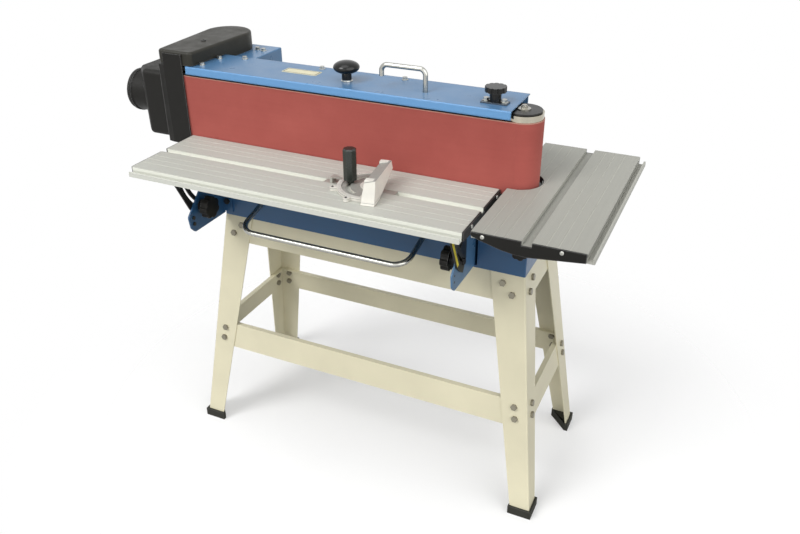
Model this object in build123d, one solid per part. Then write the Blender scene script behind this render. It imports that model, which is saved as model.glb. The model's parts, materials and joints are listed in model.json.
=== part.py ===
from build123d import *
import math
import os

# An edge sander with a vertical belt, a tilting main table and a notched side table, on a splayed stand.
# Lengths are millimetres.
# While it is drawn, x runs along the belt from the middle of the main table, y runs back from the belt face
# and z runs up from the floor. Every piece is then shifted, so the origin is under the middle of the machine.

# Fits between pieces
RUN_FIT = 0.05
GAP = 0.3
TOUCH_GAP = 0.5

# Heights of the main levels
TABLE_TOP = 775
BASE_HEIGHT = 137
HEAD_LIFT = 40

# Stand
STAND_LEFT_INSET = 70
STAND_RIGHT_REACH = 69
STAND_FRONT = -5
STAND_REAR_INSET = 39.5
SPLAY = 78
BEND_R = 3
LEG_TOP_WIDTH = 76
LEG_FOOT_WIDTH = 46
STAND_SHEET = 2.5
RAIL_HEIGHT = 65
UPPER_FLANGE = 22
LOWER_FLANGE = 12
LOWER_RAIL_TOP = 294
FOOT_HEIGHT = 22
FOOT_FLOOR = 5
FOOT_SIDE = 56
FOOT_TIP = 9
FOOT_LIP = 3
STAND_BOLT_R = 4
STAND_HEX = 13
STAND_HEAD = 5.5
STAND_NUT = 6.5
UPPER_BOLTS = ((29, 44), (49, 21))
LOWER_BOLT_DROPS = (13, 42)
BASE_BOLT_LEFT_INSET = 115
BASE_BOLT_RIGHT_INSET = 32
BASE_BOLT_INSET = 10

# Base housing
BASE_SHEET = 2.5
BASE_FLANGE = 20

# Table extrusion, measured from the edge beside the belt
TABLE_WIDTH = 222.5
TABLE_DECK = 209.5
TABLE_THICK = 14
DECK_SKIN = 5
SLOT_START = 93.5
SLOT_WIDTH = 18.8
SLOT_DEPTH = 9
LIP_DROP = 8.6
LIP_BOTTOM = 19
LIP_ROOT = 200
LIP_RIM = 4
LIP_FLOOR = 3.4
GROOVE_STARTS = (20.7, 136.7)
GROOVE_PITCH = 20.7
GROOVE_COUNT = 3
GROOVE_WIDTH = 1.6
GROOVE_DEPTH = 0.6
CHANNELS = ((8, 42), (50, 84), (122, 156), (164, 198))

# Table end plates, as distance from the belt edge and depth below the deck
PLATE_THICK = 3
PLATE_TOP = 1
PLATE_EDGE = ((0, 8.6), (16, 14.4), (55, 25), (80, 29), (105, 30), (163, 23.5), (208, 18.5))
PLATE_SCREWS = ((22, 7.2), (165.5, 6))
PLATE_SCREW_R = 1.5
PLATE_SCREW_HEAD_R = 4
PLATE_SCREW_HEAD = 2.2
PLATE_SCREW_DEPTH = 14

# Main table and its tilt
MAIN_LENGTH = 750
MAIN_EDGE_Y = -2
HINGE_Y = -10
HINGE_DROP = 24
HINGE_PIN_R = 4
HINGE_HEAD_R = 7
HINGE_HEAD = 3
HINGE_LUG_R = 9.5
TILT_RANGE = 45
TILT_CLEARANCE = 2.2
ARM_R = 132.5
ARM_INNER = 13
ARM_OUTER = 21.5
ARM_FLAT_ANGLES = (12, 42)
ARM_SHEET = 3
ARM_SLOT_HALF = 3.3
ARM_LOCK_ANGLE = 52
ARM_TAIL_ANGLE = 8
ARM_BAR = 16
ARM_FLANGE = 22
ARM_FLANGE_SPAN = (-150, -40)
ARM_FLANGE_SHEET = 3
BRACKET_SHEET = 4
BRACKET_GAP = 1
BRACKET_RIGHT_INSET = 47
BRACKET_ROUND = 9
BRACKET_TIP_Y = -122
BRACKET_NOSE = (-134, -170)
BRACKET_SHOULDER_Y = -138
BRACKET_RISE = 4
BRACKET_FLANGE = 24
BRACKET_FLANGE_MARGIN = 10
BRACKET_BOLT_DROPS = (78, 150)
BRACKET_SCREW_Y = -123
BRACKET_SCREW_DROPS = (147, 162)
BRACKET_SCREW_R = 2.5
BRACKET_SCREW_HEAD_R = 4.5
BRACKET_SCREW_HEAD = 2.5
ARM_SWING_SLOT = 6
ARM_SWING_DROPS = (88, 182)
ARM_POCKET = 44

# Fluted lock knobs
KNOB_R = 25.5
KNOB_FLUTES = 7
KNOB_FLUTE_R = 9
KNOB_FLUTE_DEPTH = 3
KNOB_CORNER_R = 3
KNOB_EDGE_R = 2.4
KNOB_THICK = 18
KNOB_HUB_R = 13
KNOB_HUB = 15
KNOB_STUD_R = 3
KNOB_NUT_HEX = 13
KNOB_NUT = 5
SIDE_KNOB_SCALE = 0.73
SIDE_KNOB_HUB = 7
SIDE_KNOB_INSET = 12
SIDE_KNOB_DROP = 121

# Bent chrome bar in front of the base
BAR_X = (-201, 211)
BAR_REACH = 95
BAR_DROP = 145
BAR_SLOPE = 15
BAR_BEND = 36
BAR_R = 6

# Side table
SIDE_LIFT = 8
SIDE_TABLE_GAP = 18
SIDE_FRONT_Y = -212.5
SIDE_LENGTH = 480
NOTCH_CLEARANCE = 9
POST_WIDTH = 16
POST_THICK = 8
POST_END_DROP = 150
POST_FOOT = 46
POST_FOOT_THICK = 5
POST_ARM_DROP = 28
POST_ARM_THICK = 8
POST_ARM_FRONT = -75
POST_RISER_BACK = -20

# Sanding belt and drums
BELT_WIDTH = 150
BELT_BELOW_TABLE = 10
BELT_THICK = 1.2
DRUM_R = 39.5
IDLER_OVERHANG = 27
DRIVE_OVERHANG = 11.1
SHAFT_R = 10
DRIVE_DRUM_MARGINS = (4.5, 3)
IDLER_DRUM_MARGINS = (5.5, 12.5)

# Head frame
PLATEN_THICK = 8
PAD_THICK = 1
PLATEN_DRIVE_GAP = 58
PLATEN_IDLER_GAP = 64
FRAME_REAR_Y = 72
FRAME_IDLER_GAP = 104
FRAME_FLANGE = 10
FRAME_RIB = 12
FIRST_RIB_INSET = 10
MIDDLE_RIBS = (-110, 60)
LAST_RIB_INSETS = (70, 12)
COLUMN_X = (-250, 180)
COLUMN_WIDTH = 60
COLUMN_Y = (15, 68)
COLUMN_FOOT = 20
COLUMN_FOOT_THICK = 10
TOP_PLATE_THICK = 8
TOP_PLATE_Y = (4, 112)
TOP_PLATE_REACH = 39
GUARD_LUG = 26
LOWER_ARM_DROPS = (21, 7)
LOWER_ARM_REACH = 34
LOWER_ARM_Y = (18, 70)
BEARING_R = 21

# Top cover and rear guard
COVER_RISE = 21.5
COVER_SHEET = 2
COVER_BEND_R = 2
COVER_DRIVE_INSET = 14
COVER_IDLER_INSET = 13
COVER_FRONT_Y = -3
COVER_REAR_Y = 122
COVER_LIP = 17.5
COVER_SHAFT_NOTCH = 20
GUARD_END_GAP = 3
GUARD_FLANGE_Y = 92
GUARD_SHEET = 2
GUARD_PANEL = 2.5
GUARD_DROP = 23
COVER_END_BOLTS = ((27, 25), (30, 86), (86, 107))
COVER_REAR_BOLTS = ((-82, 107), (119, 107))
MOTOR_BOX_BOLT_INSETS = ((42, 229), (22, 224))
COVER_BOLT_R = 3
COVER_BOLT_HEX = 10
COVER_BOLT_HEAD = 5
COVER_BOLT_WASHER_R = 7
COVER_BOLT_WASHER = 1.2
COVER_BOLT_DEPTH = 9

# Idler yoke, axle and tension travel
YOKE_WEB_INSETS = (90, 78)
YOKE_WEB_Y = (22, 66)
YOKE_TOP_ARM = 3
YOKE_TOP_GAP = 3.5
YOKE_LOWER_ARM_DROPS = (19, 8)
YOKE_EYE_R = 22
YOKE_CAP_R = 36
SLIDE_BAR_REACH = 197
SLIDE_BAR_HALF = 14
AXLE_NUT_HEX = 12
AXLE_NUT = 4.5
AXLE_WASHER_R = 13
AXLE_WASHER = 2
AXLE_STICK_OUT = 2
IDLER_TRAVEL = 5

# Release lever
LEVER_INSET = 210
LEVER_Y = 46
LEVER_ARM = 98
LEVER_R = 5.2
LEVER_RISE = 46
LEVER_TIP_RISE = 22
LEVER_BEND = 13
LEVER_ROOT = 28.5

# Tracking knob and its plate
TRACK_INSET = 58.5
TRACK_Y = 37.6
TRACK_PLATE = (54, 24, 3)
TRACK_BOLT_SPAN = 18.7
TRACK_STEM_R = 11.5
TRACK_STEM = 19.5
TRACK_HEAD_R = 21.5
TRACK_HEAD = 10.5
TRACK_FLUTES = 12
TRACK_FLUTE_R = 2.2
TRACK_STUD_R = 5

# Mushroom knob that holds the cover
CAP_X = 11
CAP_Y = 48
CAP_WASHER_R = 12
CAP_WASHER = 1.5
CAP_STEM_R = 10.5
CAP_STEM = 23
CAP_HEAD_R = 28
CAP_HEAD = 27
CAP_STUD_R = 5
CAP_STUD_DEPTH = 12

# Drive end: motor, pulleys and covers
MOTOR_OFFSET = 14
MOTOR_Y = 207
MOTOR_R = 55
MOTOR_LENGTH = 157
MOTOR_FLANGE_R = 58
MOTOR_FLANGE = 8
MOTOR_FIN = 2.5
MOTOR_FIN_COUNT = 8
MOTOR_SHAFT_R = 8
MOTOR_BOX_LEFT = 62
MOTOR_BOX_RIGHT = 109
MOTOR_BOX_REAR_Y = 272
MOTOR_BOX_DROP = 11.5
MOTOR_BOX_HEIGHT = 180
MOTOR_BOX_SHEET = 2
MOTOR_BOX_BEND_R = 3
PULLEY_RISE = 6.5
PULLEY_HEIGHT = 14
DRUM_PULLEY_R = 26
MOTOR_PULLEY_R = 32
PULLEY_FLANGE = 2
PULLEY_GROOVE = 5
DRIVE_COVER_HEADROOM = 8
DRIVE_COVER_WALL = 3
DRIVE_COVER_REAR_R = 58
DRIVE_COVER_REAR_SHIFT = 3
DRIVE_COVER_CORNER_R = 12
DRIVE_COVER_FRONT_REACH = (50, 20)
DRIVE_COVER_FRONT_Y = 11
DRIVE_COVER_LIFT = 1.5
DRIVE_COVER_EDGE_R = 6
DRIVE_SCREW_Y = 103
DRIVE_SCREW_OFFSET = 9
DRIVE_POST_R = 7
DRIVE_SCREW_R = 3
DRIVE_SCREW_HEAD_R = 6
DRIVE_SCREW_HEAD = 2.5
DRIVE_SCREW_DEPTH = 12

# Drum guard and dust hood
GUARD_FRONT_Y = -4.5
DRUM_GUARD_REACH = 61
DRUM_GUARD_TABLE_GAP = 2
DRUM_GUARD_WALL = 3
DRUM_GUARD_TURN = 16
DRUM_GUARD_RETURN_Y = 64
DRUM_GUARD_DROP = 14
GUARD_TAB_DROP = 6
HOOD_LENGTH = 83
HOOD_Y = (-1, 119)
HOOD_DROP = 5
HOOD_RISE = 1
HOOD_WALL = 3
HOOD_CHAMFER = 31
HOOD_TAPER = (18, 52)
HOOD_ROUND = 11
PORT_Y = 67
PORT_RISE = 68
PORT_R = 49
PORT_LENGTH = 44
PORT_BEAD = 2
PORT_BEAD_WIDTH = 6

# Switch and cable gland on the motor box
SWITCH_DEPTH = 28
SWITCH_Y = (170, 232)
SWITCH_DROPS = (130, 35)
SWITCH_ROUND = 6
BUTTON_R = 11
BUTTON_DROP = 22
BUTTON_STICK_OUT = 7
BUTTON_TRAVEL = 4
BUTTON_STEM = 12
STOP_HEAD_R = 15
STOP_HEAD = 6
GLAND_INSET = 39
GLAND_RISE = 27
GLAND_R = 9
GLAND_HEX = 24
GLAND_LENGTH = 20

# Miter gauge
MITER_BAR_X = (36, 196)
MITER_PIVOT_X = 141
MITER_ANGLE = 9
MITER_BAR_DROP = 0.4
MITER_LIFT = 0.6
MITER_PLATE = 8
MITER_R = 69
MITER_ARC_R = 46.5
MITER_ARC_HALF = 4.5
MITER_ARC_ANGLE = 58
MITER_FENCE_X = (4, 32)
MITER_FENCE_TOP = 49
MITER_FENCE_LEAN = 6
MITER_FENCE_FRONT = (-83, -72)
MITER_FENCE_REAR = (-48, 46, 37)
MITER_FENCE_CUT = 29
MITER_RECESS_Y = (-60, 26)
MITER_RECESS_TOP_X = 31
MITER_RECESS_DEPTH = 6.5
MITER_PIVOT_R = 5
MITER_STUD_R = 4
MITER_HANDLE_R = 13.2
MITER_HANDLE_SIDES = 8
MITER_HANDLE_BASE = 12
MITER_HANDLE_TOP = 78
MITER_LUG_R = 77
MITER_LUG_ANGLES = (21.5, 68)
MITER_LUG_HALF = 6
MITER_POCKET_R = (22, 60)
MITER_POCKET_ANGLE = 86
MITER_POCKET_DEPTH = 2.5
POINTER_TIP_R = 66
POINTER_LIFT = 10.2
POINTER_THICK = 2
POINTER_HALF = 8.8
POINTER_FOOT = 5
POINTER_GAP = 1

# Positions that follow from the values above
BELT_BOTTOM = TABLE_TOP - BELT_BELOW_TABLE
BELT_TOP = BELT_BOTTOM + BELT_WIDTH
BASE_TOP = BELT_BOTTOM - HEAD_LIFT
STAND_TOP = BASE_TOP - BASE_HEIGHT
MAIN_HALF = MAIN_LENGTH / 2
STAND_LEFT = STAND_LEFT_INSET - MAIN_HALF
STAND_RIGHT = MAIN_HALF + STAND_RIGHT_REACH
SIDE_EDGE_X = MAIN_HALF + SIDE_TABLE_GAP
SIDE_REAR_Y = SIDE_FRONT_Y + SIDE_LENGTH
SIDE_TOP = TABLE_TOP + SIDE_LIFT
SIDE_UNDER = SIDE_TOP - TABLE_THICK
STAND_REAR = SIDE_REAR_Y - STAND_REAR_INSET
SIDE_KNOB_X = STAND_RIGHT - SIDE_KNOB_INSET
SIDE_KNOB_Z = TABLE_TOP - SIDE_KNOB_DROP
BASE_INNER_FRONT = STAND_FRONT + BASE_SHEET
BASE_INNER_REAR = STAND_REAR - BASE_SHEET
LEAN_ANGLE = math.atan(SPLAY / STAND_TOP)
JOINT_GRIP = 2 * STAND_SHEET * math.cos(LEAN_ANGLE)
BRACKET_LEFT_X = STAND_LEFT
BRACKET_RIGHT_X = MAIN_HALF - BRACKET_RIGHT_INSET
BASE_BOLT_X = (STAND_LEFT + BASE_BOLT_LEFT_INSET, BRACKET_RIGHT_X - BASE_BOLT_RIGHT_INSET)
TABLE_UNDER = TABLE_TOP - TABLE_THICK
HINGE_Z = TABLE_TOP - HINGE_DROP
LOCK_Y = HINGE_Y - ARM_R * math.cos(math.radians(ARM_LOCK_ANGLE))
LOCK_Z = HINGE_Z - ARM_R * math.sin(math.radians(ARM_LOCK_ANGLE))
BAR_Z = TABLE_TOP - BAR_DROP
BELT_INNER_R = DRUM_R + GAP
BELT_OUTER_R = BELT_INNER_R + BELT_THICK
DRUM_Y = BELT_OUTER_R
IDLER_X = MAIN_HALF + IDLER_OVERHANG
DRIVE_X = -MAIN_HALF - DRIVE_OVERHANG
PAD_Y = BELT_THICK + GAP
PLATEN_Y = PAD_Y + PAD_THICK
PLATEN_BACK_Y = PLATEN_Y + PLATEN_THICK
PLATEN_X = (DRIVE_X + PLATEN_DRIVE_GAP, IDLER_X - PLATEN_IDLER_GAP)
FRAME_END_X = IDLER_X - FRAME_IDLER_GAP
COVER_TOP = BELT_TOP + COVER_RISE
COVER_UNDER = COVER_TOP - COVER_SHEET
COVER_LEFT = DRIVE_X + COVER_DRIVE_INSET
COVER_RIGHT = IDLER_X - COVER_IDLER_INSET
GUARD_BOTTOM = BELT_BOTTOM - GUARD_DROP
TOP_PLATE_TOP = COVER_UNDER - GUARD_SHEET
TOP_PLATE_BOTTOM = TOP_PLATE_TOP - TOP_PLATE_THICK
LOWER_ARM_Z = tuple(BELT_BOTTOM - drop for drop in LOWER_ARM_DROPS)
YOKE_WEB_X = tuple(IDLER_X - inset for inset in YOKE_WEB_INSETS)
YOKE_LOWER_ARM_Z = tuple(BELT_BOTTOM - drop for drop in YOKE_LOWER_ARM_DROPS)
YOKE_TOP_Z = COVER_UNDER - YOKE_TOP_GAP
YOKE_TOP_ARM_Z = YOKE_TOP_Z - YOKE_TOP_ARM
SLIDE_BAR_LEFT = IDLER_X - SLIDE_BAR_REACH
SLIDE_BAR_Z = (BELT_BOTTOM + BELT_TOP) / 2
LEVER_X = IDLER_X - LEVER_INSET
LEVER_ROOT_Z = COVER_TOP - LEVER_ROOT
LEVER_TOP_Z = COVER_TOP + LEVER_RISE
TRACK_X = IDLER_X - TRACK_INSET
MOTOR_X = DRIVE_X - MOTOR_OFFSET
MOTOR_BOX_X = (MOTOR_X - MOTOR_BOX_LEFT, MOTOR_X + MOTOR_BOX_RIGHT)
MOTOR_BOX_TOP = COVER_TOP - MOTOR_BOX_DROP
MOTOR_BOX_Z = (MOTOR_BOX_TOP - MOTOR_BOX_HEIGHT, MOTOR_BOX_TOP)
PULLEY_LOW = COVER_TOP + PULLEY_RISE
PULLEY_Z = (PULLEY_LOW, PULLEY_LOW + PULLEY_HEIGHT)
DRIVE_COVER_TOP = PULLEY_Z[1] + DRIVE_COVER_HEADROOM + DRIVE_COVER_WALL
DRIVE_SCREW_X = DRIVE_X - DRIVE_SCREW_OFFSET
DRUM_GUARD_X = (DRIVE_X - DRUM_GUARD_REACH, -MAIN_HALF - PLATE_THICK - DRUM_GUARD_TABLE_GAP)
DRUM_GUARD_Z = (BELT_BOTTOM - DRUM_GUARD_DROP, COVER_TOP - TOUCH_GAP)
GUARD_TAB_TOP = DRIVE_COVER_TOP - GUARD_TAB_DROP
HOOD_LEFT = DRUM_GUARD_X[0] - HOOD_LENGTH
HOOD_Z = (BELT_BOTTOM - HOOD_DROP, BELT_TOP + HOOD_RISE)
PORT_Z = TABLE_TOP + PORT_RISE
PORT_END_X = HOOD_LEFT - PORT_LENGTH
SWITCH_Z = tuple(MOTOR_BOX_TOP - drop for drop in SWITCH_DROPS)
SWITCH_BORE_DEPTH = BUTTON_STEM + BUTTON_TRAVEL + TOUCH_GAP
GLAND_X = MOTOR_BOX_X[1] - GLAND_INSET
GLAND_Z = MOTOR_BOX_Z[0] + GLAND_RISE
SLOT_MIDDLE = SLOT_START + SLOT_WIDTH / 2
SLOT_Y = MAIN_EDGE_Y - SLOT_MIDDLE
MITER_STUD_X = MITER_PIVOT_X - MITER_ARC_R
MITER_POCKET_FLOOR = MITER_PLATE - MITER_POCKET_DEPTH
POINTER_TIP_X = MITER_PIVOT_X - POINTER_TIP_R
POINTER_FOOT_X = MITER_PIVOT_X - MITER_LUG_R - MITER_LUG_HALF - POINTER_GAP - POINTER_FOOT
ORIGIN_X = (PORT_END_X + SIDE_EDGE_X + TABLE_WIDTH) / 2
ORIGIN_Y = (MAIN_EDGE_Y - TABLE_WIDTH + STAND_REAR + SPLAY + FOOT_LIP) / 2


def block(x0, x1, y0, y1, z0, z1):
    """A box between two opposite corners."""
    box = Box(x1 - x0, y1 - y0, z1 - z0)
    return Pos((x0 + x1) / 2, (y0 + y1) / 2, (z0 + z1) / 2) * box


def along_x(sketch, x0, x1):
    """A sketch drawn in y and z, pushed from x0 to x1."""
    return extrude(Plane.YZ.offset(x0) * sketch, amount=x1 - x0, dir=(1, 0, 0))


def along_y(sketch, y0, y1):
    """A sketch drawn in x and z, pushed from y0 to y1."""
    return extrude(Plane.XZ.offset(-y0) * sketch, amount=y1 - y0, dir=(0, 1, 0))


def along_z(sketch, z0, z1):
    """A sketch drawn in x and y, pushed from z0 to z1."""
    return extrude(Plane.XY.offset(z0) * sketch, amount=z1 - z0, dir=(0, 0, 1))


def shape_of(points):
    """A flat face with the given corners."""
    return Polygon(*points, align=None)


def disc(u, v, radius):
    """A flat disc at a place in a sketch."""
    return Pos(u, v) * Circle(radius)


def hexagon(u, v, across_flats):
    """A flat hexagon at a place in a sketch."""
    return Pos(u, v) * RegularPolygon(across_flats / 2, 6, major_radius=False)


def hull(circles):
    """The flat shape of a tight band round some discs given as (u, v, radius)."""
    edges = [edge for u, v, radius in circles for edge in disc(u, v, radius).edges()]
    return make_hull(edges)


def group(shapes):
    """Several like pieces kept together as one node."""
    return Compound([solid for shape in shapes for solid in shape.solids()])


def lean(z):
    """How far the stand has spread at a height."""
    return SPLAY * (STAND_TOP - z) / STAND_TOP


def stand_x(side, z):
    """The outer face of the stand at its left or right side."""
    return STAND_LEFT - lean(z) if side < 0 else STAND_RIGHT + lean(z)


def stand_y(side, z):
    """The outer face of the stand at its front or rear side."""
    return STAND_FRONT - lean(z) if side < 0 else STAND_REAR + lean(z)


def leg_width(z):
    """The width of a leg's flange at a height."""
    return LEG_FOOT_WIDTH + (LEG_TOP_WIDTH - LEG_FOOT_WIDTH) * z / STAND_TOP


def angle_section(side_x, side_y, z, width, sheet, grow):
    """The angle-shaped section of a leg at a height, grown by a clearance."""
    x = stand_x(side_x, z) + side_x * grow
    y = stand_y(side_y, z) + side_y * grow
    arm = width + 2 * grow
    wall = sheet + 2 * grow
    corners = (
        (0, 0),
        (arm, 0),
        (arm, wall),
        (wall, wall),
        (wall, arm),
        (0, arm),
    )
    points = [(x - side_x * a, y - side_y * b) for a, b in corners]
    return Plane.XY.offset(z) * shape_of(points)


def leg_blank(side_x, side_y, z0, z1, grow=0):
    """A tapered, splayed angle between two heights."""
    low = angle_section(side_x, side_y, z0, leg_width(z0), STAND_SHEET, grow)
    high = angle_section(side_x, side_y, z1, leg_width(z1), STAND_SHEET, grow)
    return loft([low, high], ruled=True)


def bolt_places(side_x, side_y):
    """Planes of the bolts on a leg: at its outer face, looking outwards."""
    places = []
    spots = [(offset, STAND_TOP - drop) for offset, drop in UPPER_BOLTS]
    for drop in LOWER_BOLT_DROPS:
        z = LOWER_RAIL_TOP - drop
        spots.append((leg_width(z) / 2, z))
    for offset, z in spots:
        front = (stand_x(side_x, z) - side_x * offset, stand_y(side_y, z), z)
        places.append(Plane(origin=front, x_dir=(1, 0, 0), z_dir=(0, side_y * STAND_TOP, SPLAY)))
        flank = (stand_x(side_x, z), stand_y(side_y, z) - side_y * offset, z)
        places.append(Plane(origin=flank, x_dir=(0, 1, 0), z_dir=(side_x * STAND_TOP, 0, SPLAY)))
    return places


def all_bolt_places():
    """The bolt planes of all four legs."""
    return [place for sx in (-1, 1) for sy in (-1, 1) for place in bolt_places(sx, sy)]


def drill(shape, places, radius, depth):
    """Holes along the planes' normals, reaching the same depth on both sides."""
    for place in places:
        shape = shape - place * Cylinder(radius, 2 * depth)
    return shape


def make_leg(side_x, side_y):
    """One leg with its bolt holes."""
    leg = leg_blank(side_x, side_y, FOOT_FLOOR, STAND_TOP)
    middle = (FOOT_FLOOR + STAND_TOP) / 2
    corner = (stand_x(side_x, middle), stand_y(side_y, middle), middle)
    bend = leg.edges().sort_by_distance(corner)[0]
    leg = fillet(bend, BEND_R)
    return drill(leg, bolt_places(side_x, side_y), STAND_BOLT_R + GAP, STAND_NUT)


def ruled_box(low, high, z0, z1):
    """A leaning plate between two rectangles given as (x0, x1, y0, y1)."""
    faces = []
    for (x0, x1, y0, y1), z in ((low, z0), (high, z1)):
        faces.append(Plane.XY.offset(z) * shape_of(((x0, y0), (x1, y0), (x1, y1), (x0, y1))))
    return loft(faces, ruled=True)


def long_rail(side_y, top, width):
    """A rail along the front or rear, behind the legs, with a flange along its top."""
    inset = 2 * STAND_SHEET + TOUCH_GAP

    def rectangle(z):
        outer = stand_y(side_y, z) - side_y * STAND_SHEET
        inner = outer - side_y * STAND_SHEET
        ends = (stand_x(-1, z) + inset, stand_x(1, z) - inset)
        return (*ends, min(outer, inner), max(outer, inner))

    bottom = top - RAIL_HEIGHT
    web = ruled_box(rectangle(bottom), rectangle(top), bottom, top)
    x0, x1, y0, y1 = rectangle(top)
    edge = y0 if side_y < 0 else y1
    far = edge - side_y * width
    clear = width + TOUCH_GAP
    flange = block(x0 + clear, x1 - clear, min(edge, far), max(edge, far), top - STAND_SHEET, top)
    rail = web + flange
    if top == STAND_TOP:
        for x in BASE_BOLT_X:
            y = edge - side_y * BASE_BOLT_INSET
            rail = rail - along_z(disc(x, y, STAND_BOLT_R + GAP), top - STAND_NUT, top)
    return drill(rail, all_bolt_places(), STAND_BOLT_R + GAP, STAND_NUT + STAND_SHEET)


def short_rail(side_x, top, width):
    """A rail along the left or right side, inside the legs, with a flange along its top."""
    inset = STAND_SHEET + TOUCH_GAP

    def rectangle(z):
        outer = stand_x(side_x, z) - side_x * STAND_SHEET
        inner = outer - side_x * STAND_SHEET
        ends = (stand_y(-1, z) + inset, stand_y(1, z) - inset)
        return (min(outer, inner), max(outer, inner), *ends)

    bottom = top - RAIL_HEIGHT
    web = ruled_box(rectangle(bottom), rectangle(top), bottom, top)
    x0, x1, y0, y1 = rectangle(top)
    edge = x0 if side_x < 0 else x1
    far = edge - side_x * width
    clear = STAND_SHEET + TOUCH_GAP
    flange = block(min(edge, far), max(edge, far), y0 + clear, y1 - clear, top - STAND_SHEET, top)
    return drill(web + flange, all_bolt_places(), STAND_BOLT_R + GAP, STAND_NUT + STAND_SHEET)


def hex_bolt(grip):
    """A hexagon bolt with its nut, clamping a grip below the plane it is drawn on."""
    head = along_z(hexagon(0, 0, STAND_HEX), 0, STAND_HEAD)
    shank = along_z(disc(0, 0, STAND_BOLT_R), -grip - STAND_NUT, 0)
    nut = along_z(hexagon(0, 0, STAND_HEX), -grip - STAND_NUT, -grip)
    return head + shank + nut


def base_bolt_planes():
    """Planes of the bolts that hold the base to the long upper rails."""
    planes = []
    for side_y in (-1, 1):
        edge = stand_y(side_y, STAND_TOP) - side_y * STAND_SHEET
        for x in BASE_BOLT_X:
            planes.append(Plane((x, edge - side_y * BASE_BOLT_INSET, STAND_TOP + BASE_SHEET)))
    return planes


def make_stand_bolts():
    """Every bolt of the stand, and the four that hold the base to it."""
    bolts = [place * hex_bolt(JOINT_GRIP) for place in all_bolt_places()]
    grip = BASE_SHEET + STAND_SHEET
    return group(bolts + [plane * hex_bolt(grip) for plane in base_bolt_planes()])


def make_foot(side_x, side_y):
    """A three-cornered foot cupped round the lower end of a leg."""
    x = stand_x(side_x, 0) + side_x * FOOT_LIP
    y = stand_y(side_y, 0) + side_y * FOOT_LIP
    outline = ((0, 0), (FOOT_SIDE, 0), (FOOT_SIDE, FOOT_TIP), (FOOT_TIP, FOOT_SIDE), (0, FOOT_SIDE))
    points = [(x - side_x * a, y - side_y * b) for a, b in outline]
    foot = along_z(shape_of(points), 0, FOOT_HEIGHT)
    return foot - leg_blank(side_x, side_y, FOOT_FLOOR, FOOT_HEIGHT + FOOT_FLOOR, GAP)


def make_base_housing():
    """The blue sheet box under the head, open below, with a flange on the stand."""
    x0, x1, y0, y1 = STAND_LEFT, STAND_RIGHT, STAND_FRONT, STAND_REAR
    t = BASE_SHEET
    box = block(x0, x1, y0, y1, STAND_TOP, BASE_TOP)
    box = fillet(box.edges().filter_by(Axis.Z) + box.edges().group_by(Axis.Z)[-1], BEND_R)
    box = box - block(x0 + t, x1 - t, y0 + t, y1 - t, STAND_TOP + t, BASE_TOP - t)
    f = t + BASE_FLANGE
    box = box - block(x0 + f, x1 - f, y0 + f, y1 - f, STAND_TOP - t, STAND_TOP + 2 * t)
    for x in BAR_X:
        bar_hole = Pos(x, 0, 0) * Rot(90, 0, 0) * Cylinder(BAR_R + GAP, 8 * t)
        box = box - bar_plane() * bar_hole
    arm_x = BRACKET_RIGHT_X + BRACKET_SHEET + BRACKET_GAP + ARM_SHEET / 2
    half = ARM_SWING_SLOT / 2
    high, low = (TABLE_TOP - drop for drop in ARM_SWING_DROPS)
    back = y0 + ARM_POCKET
    box = box + block(arm_x - half - t, arm_x + half + t, y0, back, low - t, high + t)
    box = box - block(arm_x - half, arm_x + half, y0 - t, back - t, low, high)
    knob_hole = disc(SIDE_KNOB_X, SIDE_KNOB_Z, KNOB_STUD_R + RUN_FIT)
    box = box - along_y(knob_hole, y0 - t, y0 + 2 * t)
    for post_y0 in post_fronts():
        px0 = SIDE_KNOB_X - POST_WIDTH / 2 - GAP
        px1 = SIDE_KNOB_X + POST_WIDTH / 2 + GAP
        py0, py1 = post_y0 - GAP, post_y0 + POST_THICK + GAP
        box = box - block(px0, px1, py0, py1, BASE_TOP - 2 * t, BASE_TOP + t)
    for x, y in column_bolts():
        box = box - along_z(disc(x, y, STAND_BOLT_R + GAP), BASE_TOP - 2 * t, BASE_TOP + t)
    box = drill(box, base_bolt_planes(), STAND_BOLT_R + GAP, STAND_NUT)
    for x, drop in bracket_bolts():
        box = box - along_y(disc(x, TABLE_TOP - drop, STAND_BOLT_R + GAP), y0 - t, y0 + 2 * t)
    return box


def column_bolts():
    """Where the head's feet are bolted down to the base."""
    y = sum(COLUMN_Y) / 2
    margin = COLUMN_FOOT / 2
    return [(x, y) for left in COLUMN_X for x in (left - margin, left + COLUMN_WIDTH + margin)]


def bracket_bolts():
    """Where the bracket flanges are bolted to the front of the base, as x and drop."""
    left = BRACKET_LEFT_X + BRACKET_FLANGE / 2
    right = BRACKET_RIGHT_X - BRACKET_FLANGE / 2
    return [(x, drop) for x in (left, right) for drop in BRACKET_BOLT_DROPS]


def bar_plane():
    """The sloping plane of the front bar, at the front of the base, reaching forwards and down."""
    slope = math.radians(BAR_SLOPE)
    return Plane((0, STAND_FRONT, BAR_Z), x_dir=(1, 0, 0), z_dir=(0, math.sin(slope), -math.cos(slope)))


def make_front_bar():
    """The bent chrome bar in front of the base."""
    left, right = BAR_X
    back = -BASE_SHEET
    points = ((left, back), (left, BAR_REACH), (right, BAR_REACH), (right, back))
    path = bar_plane() * FilletPolyline(*points, radius=BAR_BEND)
    start = bar_plane() * Plane((left, back, 0), x_dir=(1, 0, 0), z_dir=(0, 1, 0))
    return sweep(start * Circle(BAR_R), path=path)


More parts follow.
